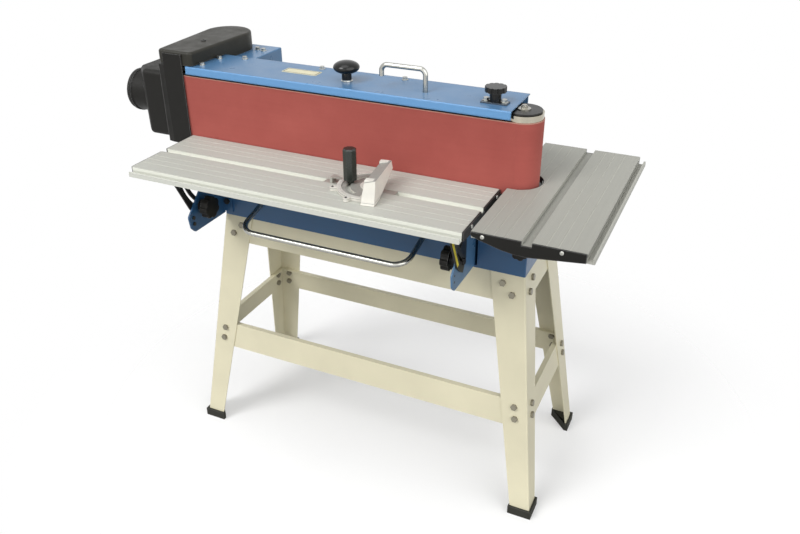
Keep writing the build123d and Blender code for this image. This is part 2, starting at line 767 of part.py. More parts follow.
def bracket_sketch():
    """The outline of a tilt bracket in y and z."""
    low = STAND_TOP + BRACKET_RISE
    slope = math.tan(math.radians(TILT_RANGE))
    above = HINGE_DROP - TABLE_THICK - TILT_CLEARANCE
    rise = above / math.cos(math.radians(TILT_RANGE))

    def edge_z(y):
        return HINGE_Z + (y - HINGE_Y) * slope + rise

    near_y = HINGE_Y - HINGE_LUG_R - rise
    points = (
        (STAND_FRONT, low),
        (BRACKET_TIP_Y, low),
        (BRACKET_NOSE[0], TABLE_TOP + BRACKET_NOSE[1]),
        (BRACKET_SHOULDER_Y, edge_z(BRACKET_SHOULDER_Y)),
        (near_y, edge_z(near_y)),
        (HINGE_Y, HINGE_Z),
        (STAND_FRONT, HINGE_Z),
    )
    plate = shape_of(points)
    corners = [plate.vertices().sort_by_distance((*point, 0))[0] for point in points[1:4]]
    return fillet(corners, BRACKET_ROUND) + disc(HINGE_Y, HINGE_Z, HINGE_LUG_R)


def make_bracket(x, inward):
    """A tilt bracket: a plate in front of the base with a flange turned inwards."""
    plate_x0, plate_x1 = (x - BRACKET_SHEET, x) if inward > 0 else (x, x + BRACKET_SHEET)
    sketch = bracket_sketch()
    sketch = sketch - disc(LOCK_Y, LOCK_Z, KNOB_STUD_R + RUN_FIT)
    sketch = sketch - disc(HINGE_Y, HINGE_Z, HINGE_PIN_R + GAP)
    for drop in BRACKET_SCREW_DROPS:
        sketch = sketch - disc(BRACKET_SCREW_Y, TABLE_TOP - drop, BRACKET_SCREW_R + GAP)
    plate = along_x(sketch, plate_x0, plate_x1)
    f0, f1 = (plate_x0, x + BRACKET_FLANGE) if inward > 0 else (x - BRACKET_FLANGE, plate_x1)
    low = STAND_TOP + BRACKET_FLANGE_MARGIN
    flange = block(f0, f1, STAND_FRONT - BRACKET_SHEET, STAND_FRONT, low, BASE_TOP - BRACKET_FLANGE_MARGIN)
    bracket = plate + flange
    for bolt_x, drop in bracket_bolts():
        hole = disc(bolt_x, TABLE_TOP - drop, STAND_BOLT_R + GAP)
        bracket = bracket - along_y(hole, STAND_FRONT - 2 * BRACKET_SHEET, STAND_FRONT)
    return bracket


def make_bracket_screws():
    """Two small screws with nuts at each bracket's tip, and the bolts of the flanges."""
    screws = []
    for x, inward in ((BRACKET_LEFT_X, 1), (BRACKET_RIGHT_X, -1)):
        for drop in BRACKET_SCREW_DROPS:
            seat = Plane((x, BRACKET_SCREW_Y, TABLE_TOP - drop), x_dir=(0, 1, 0), z_dir=(inward, 0, 0))
            screw = along_z(disc(0, 0, BRACKET_SCREW_HEAD_R), 0, BRACKET_SCREW_HEAD)
            screw = screw + along_z(disc(0, 0, BRACKET_SCREW_R), -BRACKET_SHEET, 0)
            screws.append(seat * screw)
    grip = BRACKET_SHEET + BASE_SHEET
    for x, drop in bracket_bolts():
        origin = (x, STAND_FRONT - BRACKET_SHEET, TABLE_TOP - drop)
        screws.append(Plane(origin, x_dir=(1, 0, 0), z_dir=(0, -1, 0)) * hex_bolt(grip))
    return group(screws)


def arm_span(x, inward):
    """The plate thickness of a tilt arm beside a bracket, on the outer side."""
    if inward > 0:
        x1 = x - BRACKET_SHEET - BRACKET_GAP
        return x1 - ARM_SHEET, x1
    x0 = x + BRACKET_SHEET + BRACKET_GAP
    return x0, x0 + ARM_SHEET


def sector(radius, start, end):
    """A wedge from the hinge, between two angles below the level, reaching past a radius."""
    far = 3 * radius
    return shape_of(((HINGE_Y, HINGE_Z), from_hinge(far, start), from_hinge(far, end)))


def hinge_ring(inner, outer, start, end):
    """Part of a flat ring round the hinge between two angles below the level."""
    ring = disc(HINGE_Y, HINGE_Z, outer) - disc(HINGE_Y, HINGE_Z, inner)
    return ring & sector(outer, start, end)


def from_hinge(radius, angle):
    """A point at a distance from the hinge, by its angle below the level."""
    a = math.radians(angle)
    return HINGE_Y - radius * math.cos(a), HINGE_Z - radius * math.sin(a)


def make_arm(x, inward):
    """A tilt arm: a bar under the table, a slotted limb with a straight front edge and a flange."""
    tail = ARM_LOCK_ANGLE + ARM_TAIL_ANGLE
    outer = ARM_R + ARM_OUTER
    limb = hinge_ring(ARM_R - ARM_INNER, outer, 0, tail)
    start, end = ARM_FLAT_ANGLES
    spots = ((outer, start), (outer, end), (2 * outer, end), (2 * outer, start))
    limb = limb - shape_of([from_hinge(radius, angle) for radius, angle in spots])
    reach = HINGE_Y - outer
    bar_low = TABLE_UNDER - ARM_BAR
    bar = shape_of(((reach, bar_low), (HINGE_Y, bar_low), (HINGE_Y, TABLE_UNDER), (reach, TABLE_UNDER)))
    sketch = limb + bar + disc(HINGE_Y, HINGE_Z, HINGE_LUG_R - TOUCH_GAP)
    top_angle = ARM_LOCK_ANGLE - TILT_RANGE
    slot = hinge_ring(ARM_R - ARM_SLOT_HALF, ARM_R + ARM_SLOT_HALF, top_angle, ARM_LOCK_ANGLE)
    for angle in (top_angle, ARM_LOCK_ANGLE):
        slot = slot + disc(*from_hinge(ARM_R, angle), ARM_SLOT_HALF)
    sketch = sketch - slot - disc(HINGE_Y, HINGE_Z, HINGE_PIN_R + RUN_FIT)
    x0, x1 = arm_span(x, inward)
    plate = along_x(sketch, x0, x1)
    f0, f1 = (x0 - ARM_FLANGE, x1) if inward > 0 else (x0, x1 + ARM_FLANGE)
    flange = block(f0, f1, *ARM_FLANGE_SPAN, TABLE_UNDER - ARM_FLANGE_SHEET, TABLE_UNDER)
    return plate + flange


def make_hinge_pins():
    """A headed pin through each bracket and arm."""
    pins = []
    for x, inward in ((BRACKET_LEFT_X, 1), (BRACKET_RIGHT_X, -1)):
        a0, a1 = arm_span(x, inward)
        x0 = min(a0, x) - GAP - HINGE_HEAD
        x1 = max(a1, x) + GAP + HINGE_HEAD
        pin = along_x(disc(HINGE_Y, HINGE_Z, HINGE_PIN_R), x0, x1)
        heads = along_x(disc(HINGE_Y, HINGE_Z, HINGE_HEAD_R), x0, x0 + HINGE_HEAD)
        heads = heads + along_x(disc(HINGE_Y, HINGE_Z, HINGE_HEAD_R), x1 - HINGE_HEAD, x1)
        pins.append(pin + heads)
    return group(pins)


def fluted(scale):
    """The flat outline of a knob with shallow finger flutes."""
    outline = disc(0, 0, KNOB_R * scale)
    reach = (KNOB_R - KNOB_FLUTE_DEPTH + KNOB_FLUTE_R) * scale
    for i in range(KNOB_FLUTES):
        a = 2 * math.pi * i / KNOB_FLUTES
        outline = outline - disc(reach * math.cos(a), reach * math.sin(a), KNOB_FLUTE_R * scale)
    return fillet(outline.vertices(), KNOB_CORNER_R * scale)


def knob_shape(stud, hub, scale):
    """A fluted knob on a hub above its seat, with a stud going down through the seat."""
    neck = along_z(disc(0, 0, KNOB_HUB_R * scale), 0, hub)
    head = along_z(fluted(scale), hub, hub + KNOB_THICK * scale)
    head = fillet(head.edges().group_by(Axis.Z)[-1], KNOB_EDGE_R * scale)
    return neck + head + along_z(disc(0, 0, KNOB_STUD_R), -stud, 0)


def make_lock_knob(x, inward):
    """A fluted lock knob on the inner side of a bracket, with its nut outside the arm."""
    grip = BRACKET_SHEET + BRACKET_GAP + ARM_SHEET + GAP
    nut = along_z(hexagon(0, 0, KNOB_NUT_HEX), -grip - KNOB_NUT, -grip)
    knob = knob_shape(grip + KNOB_NUT, KNOB_HUB, 1) + nut
    seat = Plane((x + inward * GAP, LOCK_Y, LOCK_Z), x_dir=(0, 1, 0), z_dir=(inward, 0, 0))
    return seat * knob


def make_side_knob():
    """The small knob that locks the side table's posts."""
    stud = BASE_SHEET + 2 * GAP
    seat = Plane((SIDE_KNOB_X, STAND_FRONT - GAP, SIDE_KNOB_Z), x_dir=(1, 0, 0), z_dir=(0, -1, 0))
    return seat * knob_shape(stud, SIDE_KNOB_HUB, SIDE_KNOB_SCALE)


def table_sketch():
    """The table extrusion's section: distance from the belt edge, and height above the deck."""
    deck = shape_of(((0, 0), (TABLE_DECK, 0), (TABLE_DECK, -TABLE_THICK), (0, -TABLE_THICK)))
    lip_points = (
        (LIP_ROOT, -LIP_DROP),
        (TABLE_WIDTH, -LIP_DROP),
        (TABLE_WIDTH, -LIP_BOTTOM),
        (LIP_ROOT, -LIP_BOTTOM),
    )
    rim, floor = TABLE_WIDTH - LIP_RIM, LIP_FLOOR - LIP_BOTTOM
    gutter = ((TABLE_DECK, -LIP_DROP), (rim, -LIP_DROP), (rim, floor), (TABLE_DECK, floor))
    section = deck + (shape_of(lip_points) - shape_of(gutter))
    s0, s1 = SLOT_START, SLOT_START + SLOT_WIDTH
    section = section - shape_of(((s0, 0), (s1, 0), (s1, -SLOT_DEPTH), (s0, -SLOT_DEPTH)))
    for start in GROOVE_STARTS:
        for i in range(GROOVE_COUNT):
            a = start + i * GROOVE_PITCH
            b = a + GROOVE_WIDTH
            section = section - shape_of(((a, 0), (b, 0), (b, -GROOVE_DEPTH), (a, -GROOVE_DEPTH)))
    for a, b in CHANNELS:
        section = section - shape_of(((a, -DECK_SKIN), (b, -DECK_SKIN), (b, -TABLE_THICK), (a, -TABLE_THICK)))
    return section


def plate_sketch():
    """The outline of a table end plate, in the table section's own measures."""
    far = PLATE_EDGE[-1][0]
    top = [(far, -PLATE_TOP), (0, -PLATE_TOP)]
    plate = shape_of([(s, -drop) for s, drop in PLATE_EDGE] + top)
    s0, s1 = SLOT_START, SLOT_START + SLOT_WIDTH
    plate = plate - shape_of(((s0, 0), (s1, 0), (s1, -SLOT_DEPTH), (s0, -SLOT_DEPTH)))
    for s, drop in PLATE_SCREWS:
        plate = plate - disc(s, -drop, PLATE_SCREW_R + GAP)
    return plate


def screw_sketch(radius):
    """Discs at the end plate's screws, in the table section's own measures."""
    return [disc(s, -drop, radius) for s, drop in PLATE_SCREWS]


def main_sketch(sketch):
    """A table section laid in y and z for the main table."""
    return Pos(MAIN_EDGE_Y, TABLE_TOP) * mirror(sketch, Plane.YZ)


def side_sketch(sketch):
    """A table section laid in x and z for the side table."""
    return Pos(SIDE_EDGE_X, SIDE_TOP) * sketch


def make_main_table():
    """The tilting main table, with blind holes for its end screws."""
    half = MAIN_HALF
    table = along_x(main_sketch(table_sketch()), -half, half)
    for hole in screw_sketch(PLATE_SCREW_R + GAP):
        depth = PLATE_SCREW_DEPTH + GAP
        table = table - along_x(main_sketch(hole), -half, depth - half)
        table = table - along_x(main_sketch(hole), half - depth, half)
    return table


def make_table_end_plates():
    """The two end plates of the main table."""
    half = MAIN_HALF
    left = along_x(main_sketch(plate_sketch()), -half - PLATE_THICK, -half)
    right = along_x(main_sketch(plate_sketch()), half, half + PLATE_THICK)
    return group([left, right])


def make_table_screws():
    """The screws of the main table's end plates."""
    face = MAIN_HALF + PLATE_THICK
    deep = MAIN_HALF - PLATE_SCREW_DEPTH
    screws = []
    for shank, head in zip(screw_sketch(PLATE_SCREW_R), screw_sketch(PLATE_SCREW_HEAD_R)):
        right = along_x(main_sketch(shank), deep, face)
        right = right + along_x(main_sketch(head), face, face + PLATE_SCREW_HEAD)
        screws.append(right)
        screws.append(mirror(right, Plane.YZ))
    return group(screws)


def make_side_table():
    """The side table, notched round the idler drum."""
    table = along_y(side_sketch(table_sketch()), SIDE_FRONT_Y, SIDE_REAR_Y)
    r = BELT_OUTER_R + NOTCH_CLEARANCE
    low, high = SIDE_TOP - 2 * TABLE_THICK, SIDE_TOP + TABLE_THICK
    table = table - along_z(disc(IDLER_X, DRUM_Y, r), low, high)
    table = table - block(SIDE_EDGE_X - r, IDLER_X, DRUM_Y - r, DRUM_Y + r, low, high)
    for hole in screw_sketch(PLATE_SCREW_R + GAP):
        depth = PLATE_SCREW_DEPTH + GAP
        table = table - along_y(side_sketch(hole), SIDE_FRONT_Y, SIDE_FRONT_Y + depth)
        table = table - along_y(side_sketch(hole), SIDE_REAR_Y - depth, SIDE_REAR_Y)
    return table


def make_side_end_plates():
    """The two end plates of the side table."""
    front = along_y(side_sketch(plate_sketch()), SIDE_FRONT_Y - PLATE_THICK, SIDE_FRONT_Y)
    rear = along_y(side_sketch(plate_sketch()), SIDE_REAR_Y, SIDE_REAR_Y + PLATE_THICK)
    return group([front, rear])


def make_side_screws():
    """The screws of the side table's end plates."""
    screws = []
    front, rear = SIDE_FRONT_Y - PLATE_THICK, SIDE_REAR_Y + PLATE_THICK
    for shank, head in zip(screw_sketch(PLATE_SCREW_R), screw_sketch(PLATE_SCREW_HEAD_R)):
        a = along_y(side_sketch(shank), front, SIDE_FRONT_Y + PLATE_SCREW_DEPTH)
        screws.append(a + along_y(side_sketch(head), front - PLATE_SCREW_HEAD, front))
        b = along_y(side_sketch(shank), SIDE_REAR_Y - PLATE_SCREW_DEPTH, rear)
        screws.append(b + along_y(side_sketch(head), rear, rear + PLATE_SCREW_HEAD))
    return group(screws)


def post_fronts():
    """The front faces of the side table's two posts, just inside the base's walls."""
    return BASE_INNER_FRONT + GAP, BASE_INNER_REAR - GAP - POST_THICK


def make_side_posts():
    """Two flat posts under the side table that slide in the base."""
    posts = []
    x0, x1 = SIDE_KNOB_X - POST_WIDTH / 2, SIDE_KNOB_X + POST_WIDTH / 2
    low = TABLE_TOP - POST_END_DROP
    front_y, rear_y = post_fronts()
    arm_z = TABLE_TOP - POST_ARM_DROP
    arm_top = arm_z + POST_ARM_THICK
    front = block(x0, x1, front_y, front_y + POST_THICK, low, arm_top)
    front = front + block(x0, x0 + POST_FOOT, POST_ARM_FRONT, front_y + POST_THICK, arm_z, arm_top)
    front = front + block(x0, x0 + POST_FOOT, POST_ARM_FRONT, POST_RISER_BACK, arm_top, SIDE_UNDER)
    rear = block(x0, x1, rear_y, rear_y + POST_THICK, low, SIDE_UNDER)
    foot_z = SIDE_UNDER - POST_FOOT_THICK
    rear = rear + block(x0, x0 + POST_FOOT, rear_y, rear_y + POST_THICK, foot_z, SIDE_UNDER)
    posts.append(front)
    posts.append(rear)
    return group(posts)


def belt_loop(radius):
    """The flat shape of the belt's path at a radius from the drum axes."""
    return hull(((DRIVE_X, DRUM_Y, radius), (IDLER_X, DRUM_Y, radius)))


def make_sanding_belt():
    """The endless sanding belt."""
    return along_z(belt_loop(BELT_OUTER_R) - belt_loop(BELT_INNER_R), BELT_BOTTOM, BELT_TOP)


def make_platen_pad():
    """The graphite pad between platen and belt."""
    return block(*PLATEN_X, PAD_Y, PLATEN_Y, BELT_BOTTOM, BELT_TOP)


def make_head_frame():
    """The cast frame inside the belt: platen, flanges, ribs, columns, top plate and lower drum arm."""
    left, end = PLATEN_X[0], FRAME_END_X
    back = PLATEN_BACK_Y
    frame = block(*PLATEN_X, PLATEN_Y, back, BELT_BOTTOM, BELT_TOP)
    for z in (BELT_BOTTOM, BELT_TOP - FRAME_FLANGE):
        frame = frame + block(left, end, back, FRAME_REAR_Y, z, z + FRAME_FLANGE)
    first, last = left + FIRST_RIB_INSET, [end - inset for inset in LAST_RIB_INSETS]
    for x in (first, *MIDDLE_RIBS, *last):
        frame = frame + block(x, x + FRAME_RIB, back, FRAME_REAR_Y, BELT_BOTTOM, BELT_TOP)
    frame = frame + block(left, end, back, FRAME_REAR_Y, BELT_TOP, TOP_PLATE_BOTTOM)
    plate_left = DRIVE_X - TOP_PLATE_REACH
    frame = frame + block(plate_left, end, *TOP_PLATE_Y, TOP_PLATE_BOTTOM, TOP_PLATE_TOP)
    lug_y = GUARD_FRONT_Y + DRUM_GUARD_WALL
    lug_x = DRIVE_X - GUARD_LUG
    frame = frame + block(lug_x, DRIVE_X, lug_y, TOP_PLATE_Y[1], TOP_PLATE_BOTTOM, TOP_PLATE_TOP)
    frame = frame + block(DRIVE_X - LOWER_ARM_REACH, left + 3 * FRAME_RIB, *LOWER_ARM_Y, *LOWER_ARM_Z)
    frame = frame + block(left, left + 3 * FRAME_RIB, *LOWER_ARM_Y, LOWER_ARM_Z[0], BELT_BOTTOM)
    for x in COLUMN_X:
        frame = frame + block(x, x + COLUMN_WIDTH, *COLUMN_Y, BASE_TOP, BELT_BOTTOM)
        x0, x1 = x - COLUMN_FOOT, x + COLUMN_WIDTH + COLUMN_FOOT
        frame = frame + block(x0, x1, *COLUMN_Y, BASE_TOP, BASE_TOP + COLUMN_FOOT_THICK)
    frame = frame + along_z(disc(DRIVE_SCREW_X, DRIVE_SCREW_Y, DRIVE_POST_R), TOP_PLATE_TOP, drive_ceiling())
    return cut_head_frame(frame)


def cut_head_frame(frame):
    """The bores of the head frame."""
    half = SLIDE_BAR_HALF + GAP
    y0, y1 = DRUM_Y - half, DRUM_Y + half
    frame = frame - block(SLIDE_BAR_LEFT, FRAME_END_X, y0, y1, SLIDE_BAR_Z - half, SLIDE_BAR_Z + half)
    seat = disc(DRIVE_X, DRUM_Y, BEARING_R + RUN_FIT)
    frame = frame - along_z(seat, LOWER_ARM_Z[0], LOWER_ARM_Z[1])
    frame = frame - along_z(seat, TOP_PLATE_BOTTOM, TOP_PLATE_TOP)
    frame = frame - along_z(disc(LEVER_X, LEVER_Y, LEVER_R + RUN_FIT), LEVER_ROOT_Z - GAP, TOP_PLATE_TOP)
    stud = disc(CAP_X, CAP_Y, CAP_STUD_R + RUN_FIT)
    frame = frame - along_z(stud, COVER_TOP - CAP_STUD_DEPTH - GAP, TOP_PLATE_TOP)
    bolt_low = COVER_TOP - COVER_BOLT_DEPTH - GAP
    for x, y in cover_bolt_spots():
        frame = frame - along_z(disc(x, y, COVER_BOLT_R + GAP), bolt_low, TOP_PLATE_TOP)
    for x, y in column_bolts():
        frame = frame - along_z(disc(x, y, STAND_BOLT_R + GAP), BASE_TOP, BASE_TOP + 2 * COLUMN_FOOT_THICK)
    screw = disc(DRIVE_SCREW_X, DRIVE_SCREW_Y, DRIVE_SCREW_R + GAP)
    return frame - along_z(screw, DRIVE_COVER_TOP - DRIVE_SCREW_DEPTH - GAP, drive_ceiling())


def drive_ceiling():
    """The under side of the drive cover's roof."""
    return DRIVE_COVER_TOP - DRIVE_COVER_WALL


def make_drive_bearings():
    """The two bearings of the drive shaft."""
    ring = disc(DRIVE_X, DRUM_Y, BEARING_R) - disc(DRIVE_X, DRUM_Y, SHAFT_R + RUN_FIT)
    lower = along_z(ring, LOWER_ARM_Z[0], LOWER_ARM_Z[1])
    return group([lower, along_z(ring, TOP_PLATE_BOTTOM, TOP_PLATE_TOP)])


def drum_at(x, margins, bore):
    """A belt drum with a bore, reaching past the belt by two margins."""
    ring = disc(x, DRUM_Y, DRUM_R) - disc(x, DRUM_Y, bore)
    return along_z(ring, BELT_BOTTOM - margins[0], BELT_TOP + margins[1])


def make_drive_shaft():
    """The drive shaft, from the lower bearing up to the pulley."""
    return along_z(disc(DRIVE_X, DRUM_Y, SHAFT_R), LOWER_ARM_Z[0], PULLEY_Z[1])


def pulley_at(x, y, radius, bore):
    """A grooved pulley."""
    z0, z1 = PULLEY_Z
    body = along_z(disc(x, y, radius - PULLEY_GROOVE), z0, z1)
    body = body + along_z(disc(x, y, radius), z0, z0 + PULLEY_FLANGE)
    body = body + along_z(disc(x, y, radius), z1 - PULLEY_FLANGE, z1)
    return body - along_z(disc(x, y, bore), z0, z1) if bore else body


def make_motor_pulley():
    """The motor's pulley with its shaft."""
    pulley = pulley_at(MOTOR_X, MOTOR_Y, MOTOR_PULLEY_R, 0)
    low = MOTOR_BOX_Z[1] - MOTOR_BOX_SHEET - 2 * MOTOR_FLANGE
    return pulley + along_z(disc(MOTOR_X, MOTOR_Y, MOTOR_SHAFT_R), low, PULLEY_Z[1])


def drive_belt_loop(extra):
    """The drive belt's path at a distance above the pulleys' grooves."""
    drum = (DRIVE_X, DRUM_Y, DRUM_PULLEY_R - PULLEY_GROOVE + extra)
    return hull((drum, (MOTOR_X, MOTOR_Y, MOTOR_PULLEY_R - PULLEY_GROOVE + extra)))


def make_drive_belt():
    """The drive belt in the pulleys' grooves."""
    ring = drive_belt_loop(GAP + PULLEY_GROOVE) - drive_belt_loop(GAP)
    return along_z(ring, PULLEY_Z[0] + PULLEY_FLANGE + GAP, PULLEY_Z[1] - PULLEY_FLANGE - GAP)


def make_motor():
    """The motor hung under the roof of its box, with its shaft bore and cooling fins."""
    top = MOTOR_BOX_Z[1] - MOTOR_BOX_SHEET
    low = top - MOTOR_LENGTH
    core = MOTOR_R - MOTOR_FIN
    body = along_z(disc(MOTOR_X, MOTOR_Y, core), low, top)
    pitch = (MOTOR_LENGTH - 2 * MOTOR_FLANGE) / MOTOR_FIN_COUNT
    for i in range(MOTOR_FIN_COUNT):
        z = low + MOTOR_FLANGE + i * pitch
        body = body + along_z(disc(MOTOR_X, MOTOR_Y, MOTOR_R), z, z + pitch / 2)
    body = body + along_z(disc(MOTOR_X, MOTOR_Y, MOTOR_FLANGE_R), top - MOTOR_FLANGE, top)
    bore = disc(MOTOR_X, MOTOR_Y, MOTOR_SHAFT_R + RUN_FIT)
    return body - along_z(bore, top - 2 * MOTOR_FLANGE - GAP, top)


def make_motor_housing():
    """The blue sheet box round the motor, open below."""
    x0, x1 = MOTOR_BOX_X
    z0, z1 = MOTOR_BOX_Z
    t = MOTOR_BOX_SHEET
    y0, y1 = COVER_REAR_Y, MOTOR_BOX_REAR_Y
    box = block(x0, x1, y0, y1, z0, z1)
    rear = box.edges().filter_by(Axis.Z).group_by(Axis.Y)[-1]
    box = fillet(rear + box.edges().group_by(Axis.Z)[-1], MOTOR_BOX_BEND_R)
    box = box - block(x0 + t, x1 - t, y0 + t, y1 - t, z0, z1 - t)
    box = box - along_z(disc(MOTOR_X, MOTOR_Y, 2 * MOTOR_SHAFT_R), z1 - 2 * t, z1 + t)
    for x, y in motor_box_bolt_spots():
        box = box - along_z(disc(x, y, COVER_BOLT_R + GAP), z1 - 2 * t, z1 + t)
    gland = disc(GLAND_X, GLAND_Z, GLAND_R + GAP)
    return box - along_y(gland, y1 - 2 * t, y1 + t)


def drive_cover_plan(inset):
    """The outline of the drive cover, drawn in by a wall thickness."""
    left, right = DRIVE_COVER_FRONT_REACH
    ends = (DRIVE_X - left, DRIVE_X + right)
    front = [(x, DRIVE_COVER_FRONT_Y, DRIVE_COVER_CORNER_R - inset) for x in ends]
    rear = (MOTOR_X - DRIVE_COVER_REAR_SHIFT, MOTOR_Y, DRIVE_COVER_REAR_R - inset)
    return hull([*front, rear])


def make_drive_cover():
    """The black lid over the pulleys, its wall reaching lower behind the head."""
    low = MOTOR_BOX_Z[1] + TOUCH_GAP
    ceiling = drive_ceiling()
    lid = along_z(drive_cover_plan(0), low, DRIVE_COVER_TOP)
    lid = fillet(lid.edges().group_by(Axis.Z)[-1], DRIVE_COVER_EDGE_R)
    lid = lid - along_z(drive_cover_plan(DRIVE_COVER_WALL), low, ceiling)
    reach = 2 * DRIVE_COVER_REAR_R
    shelf_y = COVER_REAR_Y + TOUCH_GAP
    step = block(DRIVE_X - 2 * reach, DRIVE_X + 2 * reach, -reach, shelf_y, low, COVER_TOP + DRIVE_COVER_LIFT)
    hole = disc(DRIVE_SCREW_X, DRIVE_SCREW_Y, DRIVE_SCREW_R + GAP)
    return lid - step - along_z(hole, ceiling, DRIVE_COVER_TOP)


def make_drive_cover_screw():
    """The screw that holds the drive cover."""
    shank = disc(DRIVE_SCREW_X, DRIVE_SCREW_Y, DRIVE_SCREW_R)
    head = disc(DRIVE_SCREW_X, DRIVE_SCREW_Y, DRIVE_SCREW_HEAD_R)
    screw = along_z(shank, DRIVE_COVER_TOP - DRIVE_SCREW_DEPTH, DRIVE_COVER_TOP)
    return screw + along_z(head, DRIVE_COVER_TOP, DRIVE_COVER_TOP + DRIVE_SCREW_HEAD)


def guard_plan(inset):
    """The drum guard's plan: a front panel, a turned edge flush with the hood and a return."""
    x0, x1 = DRUM_GUARD_X[0] + inset, DRUM_GUARD_X[1]
    front, side = GUARD_FRONT_Y + inset, HOOD_Y[0] + inset
    far = DRUM_GUARD_RETURN_Y
    return shape_of(((x0, side), (x0 + DRUM_GUARD_TURN, front), (x1, front), (x1, far), (x0, far)))


def make_drum_guard():
    """The black guard in front of the drive drum, with a tab in front of the drive cover."""
    wall = DRUM_GUARD_WALL
    x0, x1 = DRUM_GUARD_X
    panel = guard_plan(0) - guard_plan(wall)
    guard = along_z(panel, *DRUM_GUARD_Z)
    tab_x0, tab_z0 = x0 + DRUM_GUARD_TURN, DRUM_GUARD_Z[1]
    return guard + block(tab_x0, x1, GUARD_FRONT_Y, GUARD_FRONT_Y + wall, tab_z0, GUARD_TAB_TOP)


def hood_plan(inset):
    """The dust hood's plan with its cut corner, drawn in by a wall."""
    x0, x1 = HOOD_LEFT + inset, DRUM_GUARD_X[0]
    y0, y1 = HOOD_Y[0] + inset, HOOD_Y[1] - inset
    cut = HOOD_CHAMFER - inset * (2 - math.sqrt(2))
    return shape_of(((x0 + cut, y0), (x1, y0), (x1, y1), (x0, y1), (x0, y0 + cut)))


def hood_taper(inset):
    """The wedge cut from the hood's lower left side."""
    run, rise = HOOD_TAPER
    x0, z0 = HOOD_LEFT + inset, HOOD_Z[0]
    far = x0 - run
    points = ((far, z0 - rise), (x0 + run, z0 - rise), (x0 + run, z0), (x0, z0 + rise), (far, z0 + rise))
    return along_y(shape_of(points), HOOD_Y[0], HOOD_Y[1])


def rounded_hood(shape, radius):
    """The hood's box with its edges rounded, except round its open side."""
    edges = [edge for edge in shape.edges() if edge.center().X < DRUM_GUARD_X[0] - TOUCH_GAP]
    return fillet(edges, radius)


def make_dust_hood():
    """The black dust hood, open towards the drum, with its round port."""
    t = HOOD_WALL
    z0, z1 = HOOD_Z
    outer = rounded_hood(along_z(hood_plan(0), z0, z1) - hood_taper(0), HOOD_ROUND)
    outer = outer + along_x(disc(PORT_Y, PORT_Z, PORT_R), PORT_END_X, HOOD_LEFT + HOOD_CHAMFER)
    bead_x = PORT_END_X + PORT_BEAD_WIDTH
    outer = outer + along_x(disc(PORT_Y, PORT_Z, PORT_R + PORT_BEAD), bead_x, bead_x + PORT_BEAD_WIDTH)
    inner = rounded_hood(along_z(hood_plan(t), z0 + t, z1 - t) - hood_taper(t), HOOD_ROUND - t)
    inner = inner + along_x(disc(PORT_Y, PORT_Z, PORT_R - t), PORT_END_X, HOOD_LEFT + 2 * t)
    return outer - inner


def make_top_cover():
    """The blue sheet cover over the belt, with its front lip and its holes."""
    sheet = block(COVER_LEFT, COVER_RIGHT, COVER_FRONT_Y, COVER_REAR_Y, COVER_UNDER, COVER_TOP)
    lip_y = COVER_FRONT_Y + COVER_SHEET
    cover = sheet + block(COVER_LEFT, COVER_RIGHT, COVER_FRONT_Y, lip_y, COVER_TOP - COVER_LIP, COVER_TOP)
    bend = cover.edges().filter_by(Axis.X).sort_by_distance((0, COVER_FRONT_Y, COVER_TOP))[0]
    cover = fillet(bend, COVER_BEND_R)
    holes = [(x, y, COVER_BOLT_R + GAP) for x, y in cover_bolt_spots()]
    holes.append((CAP_X, CAP_Y, CAP_STUD_R + GAP))
    holes.append((LEVER_X, LEVER_Y, LEVER_R + GAP))
    holes.append((TRACK_X, TRACK_Y, TRACK_STUD_R + GAP))
    holes.append((DRIVE_X, DRUM_Y, COVER_SHAFT_NOTCH))
    holes += [(x, y, COVER_BOLT_R + GAP) for x, y in track_bolts()]
    for x, y, radius in holes:
        cover = cover - along_z(disc(x, y, radius), COVER_UNDER, COVER_TOP)
    return cover


def make_rear_guard():
    """The blue panel behind the belt, with a flange under the cover."""
    end = COVER_RIGHT - GUARD_END_GAP
    panel = block(COVER_LEFT, end, COVER_REAR_Y - GUARD_PANEL, COVER_REAR_Y, GUARD_BOTTOM, COVER_UNDER)
    flange = block(COVER_LEFT, end, GUARD_FLANGE_Y, COVER_REAR_Y, COVER_UNDER - GUARD_SHEET, COVER_UNDER)
    guard = panel + flange
    for x, y in cover_bolt_spots():
        guard = guard - along_z(disc(x, y, COVER_BOLT_R + GAP), COVER_UNDER - GUARD_SHEET, COVER_UNDER)
    return guard


def cover_bolt_spots():
    """Where the cover is bolted down."""
    return [(COVER_LEFT + inset, y) for inset, y in COVER_END_BOLTS] + list(COVER_REAR_BOLTS)


def motor_box_bolt_spots():
    """Where the motor is bolted to the roof of its box."""
    return [(MOTOR_BOX_X[1] - inset, y) for inset, y in MOTOR_BOX_BOLT_INSETS]


def track_bolts():
    """Where the tracking plate is bolted to the cover."""
    return [(TRACK_X - TRACK_BOLT_SPAN, TRACK_Y), (TRACK_X + TRACK_BOLT_SPAN, TRACK_Y)]


def cover_bolt(x, y, seat, low):
    """A small hexagon bolt with a washer, reaching down to a level."""
    bolt = along_z(disc(x, y, COVER_BOLT_WASHER_R), seat, seat + COVER_BOLT_WASHER)
    head = seat + COVER_BOLT_WASHER
    bolt = bolt + along_z(hexagon(x, y, COVER_BOLT_HEX), head, head + COVER_BOLT_HEAD)
    return bolt + along_z(disc(x, y, COVER_BOLT_R), low, seat)


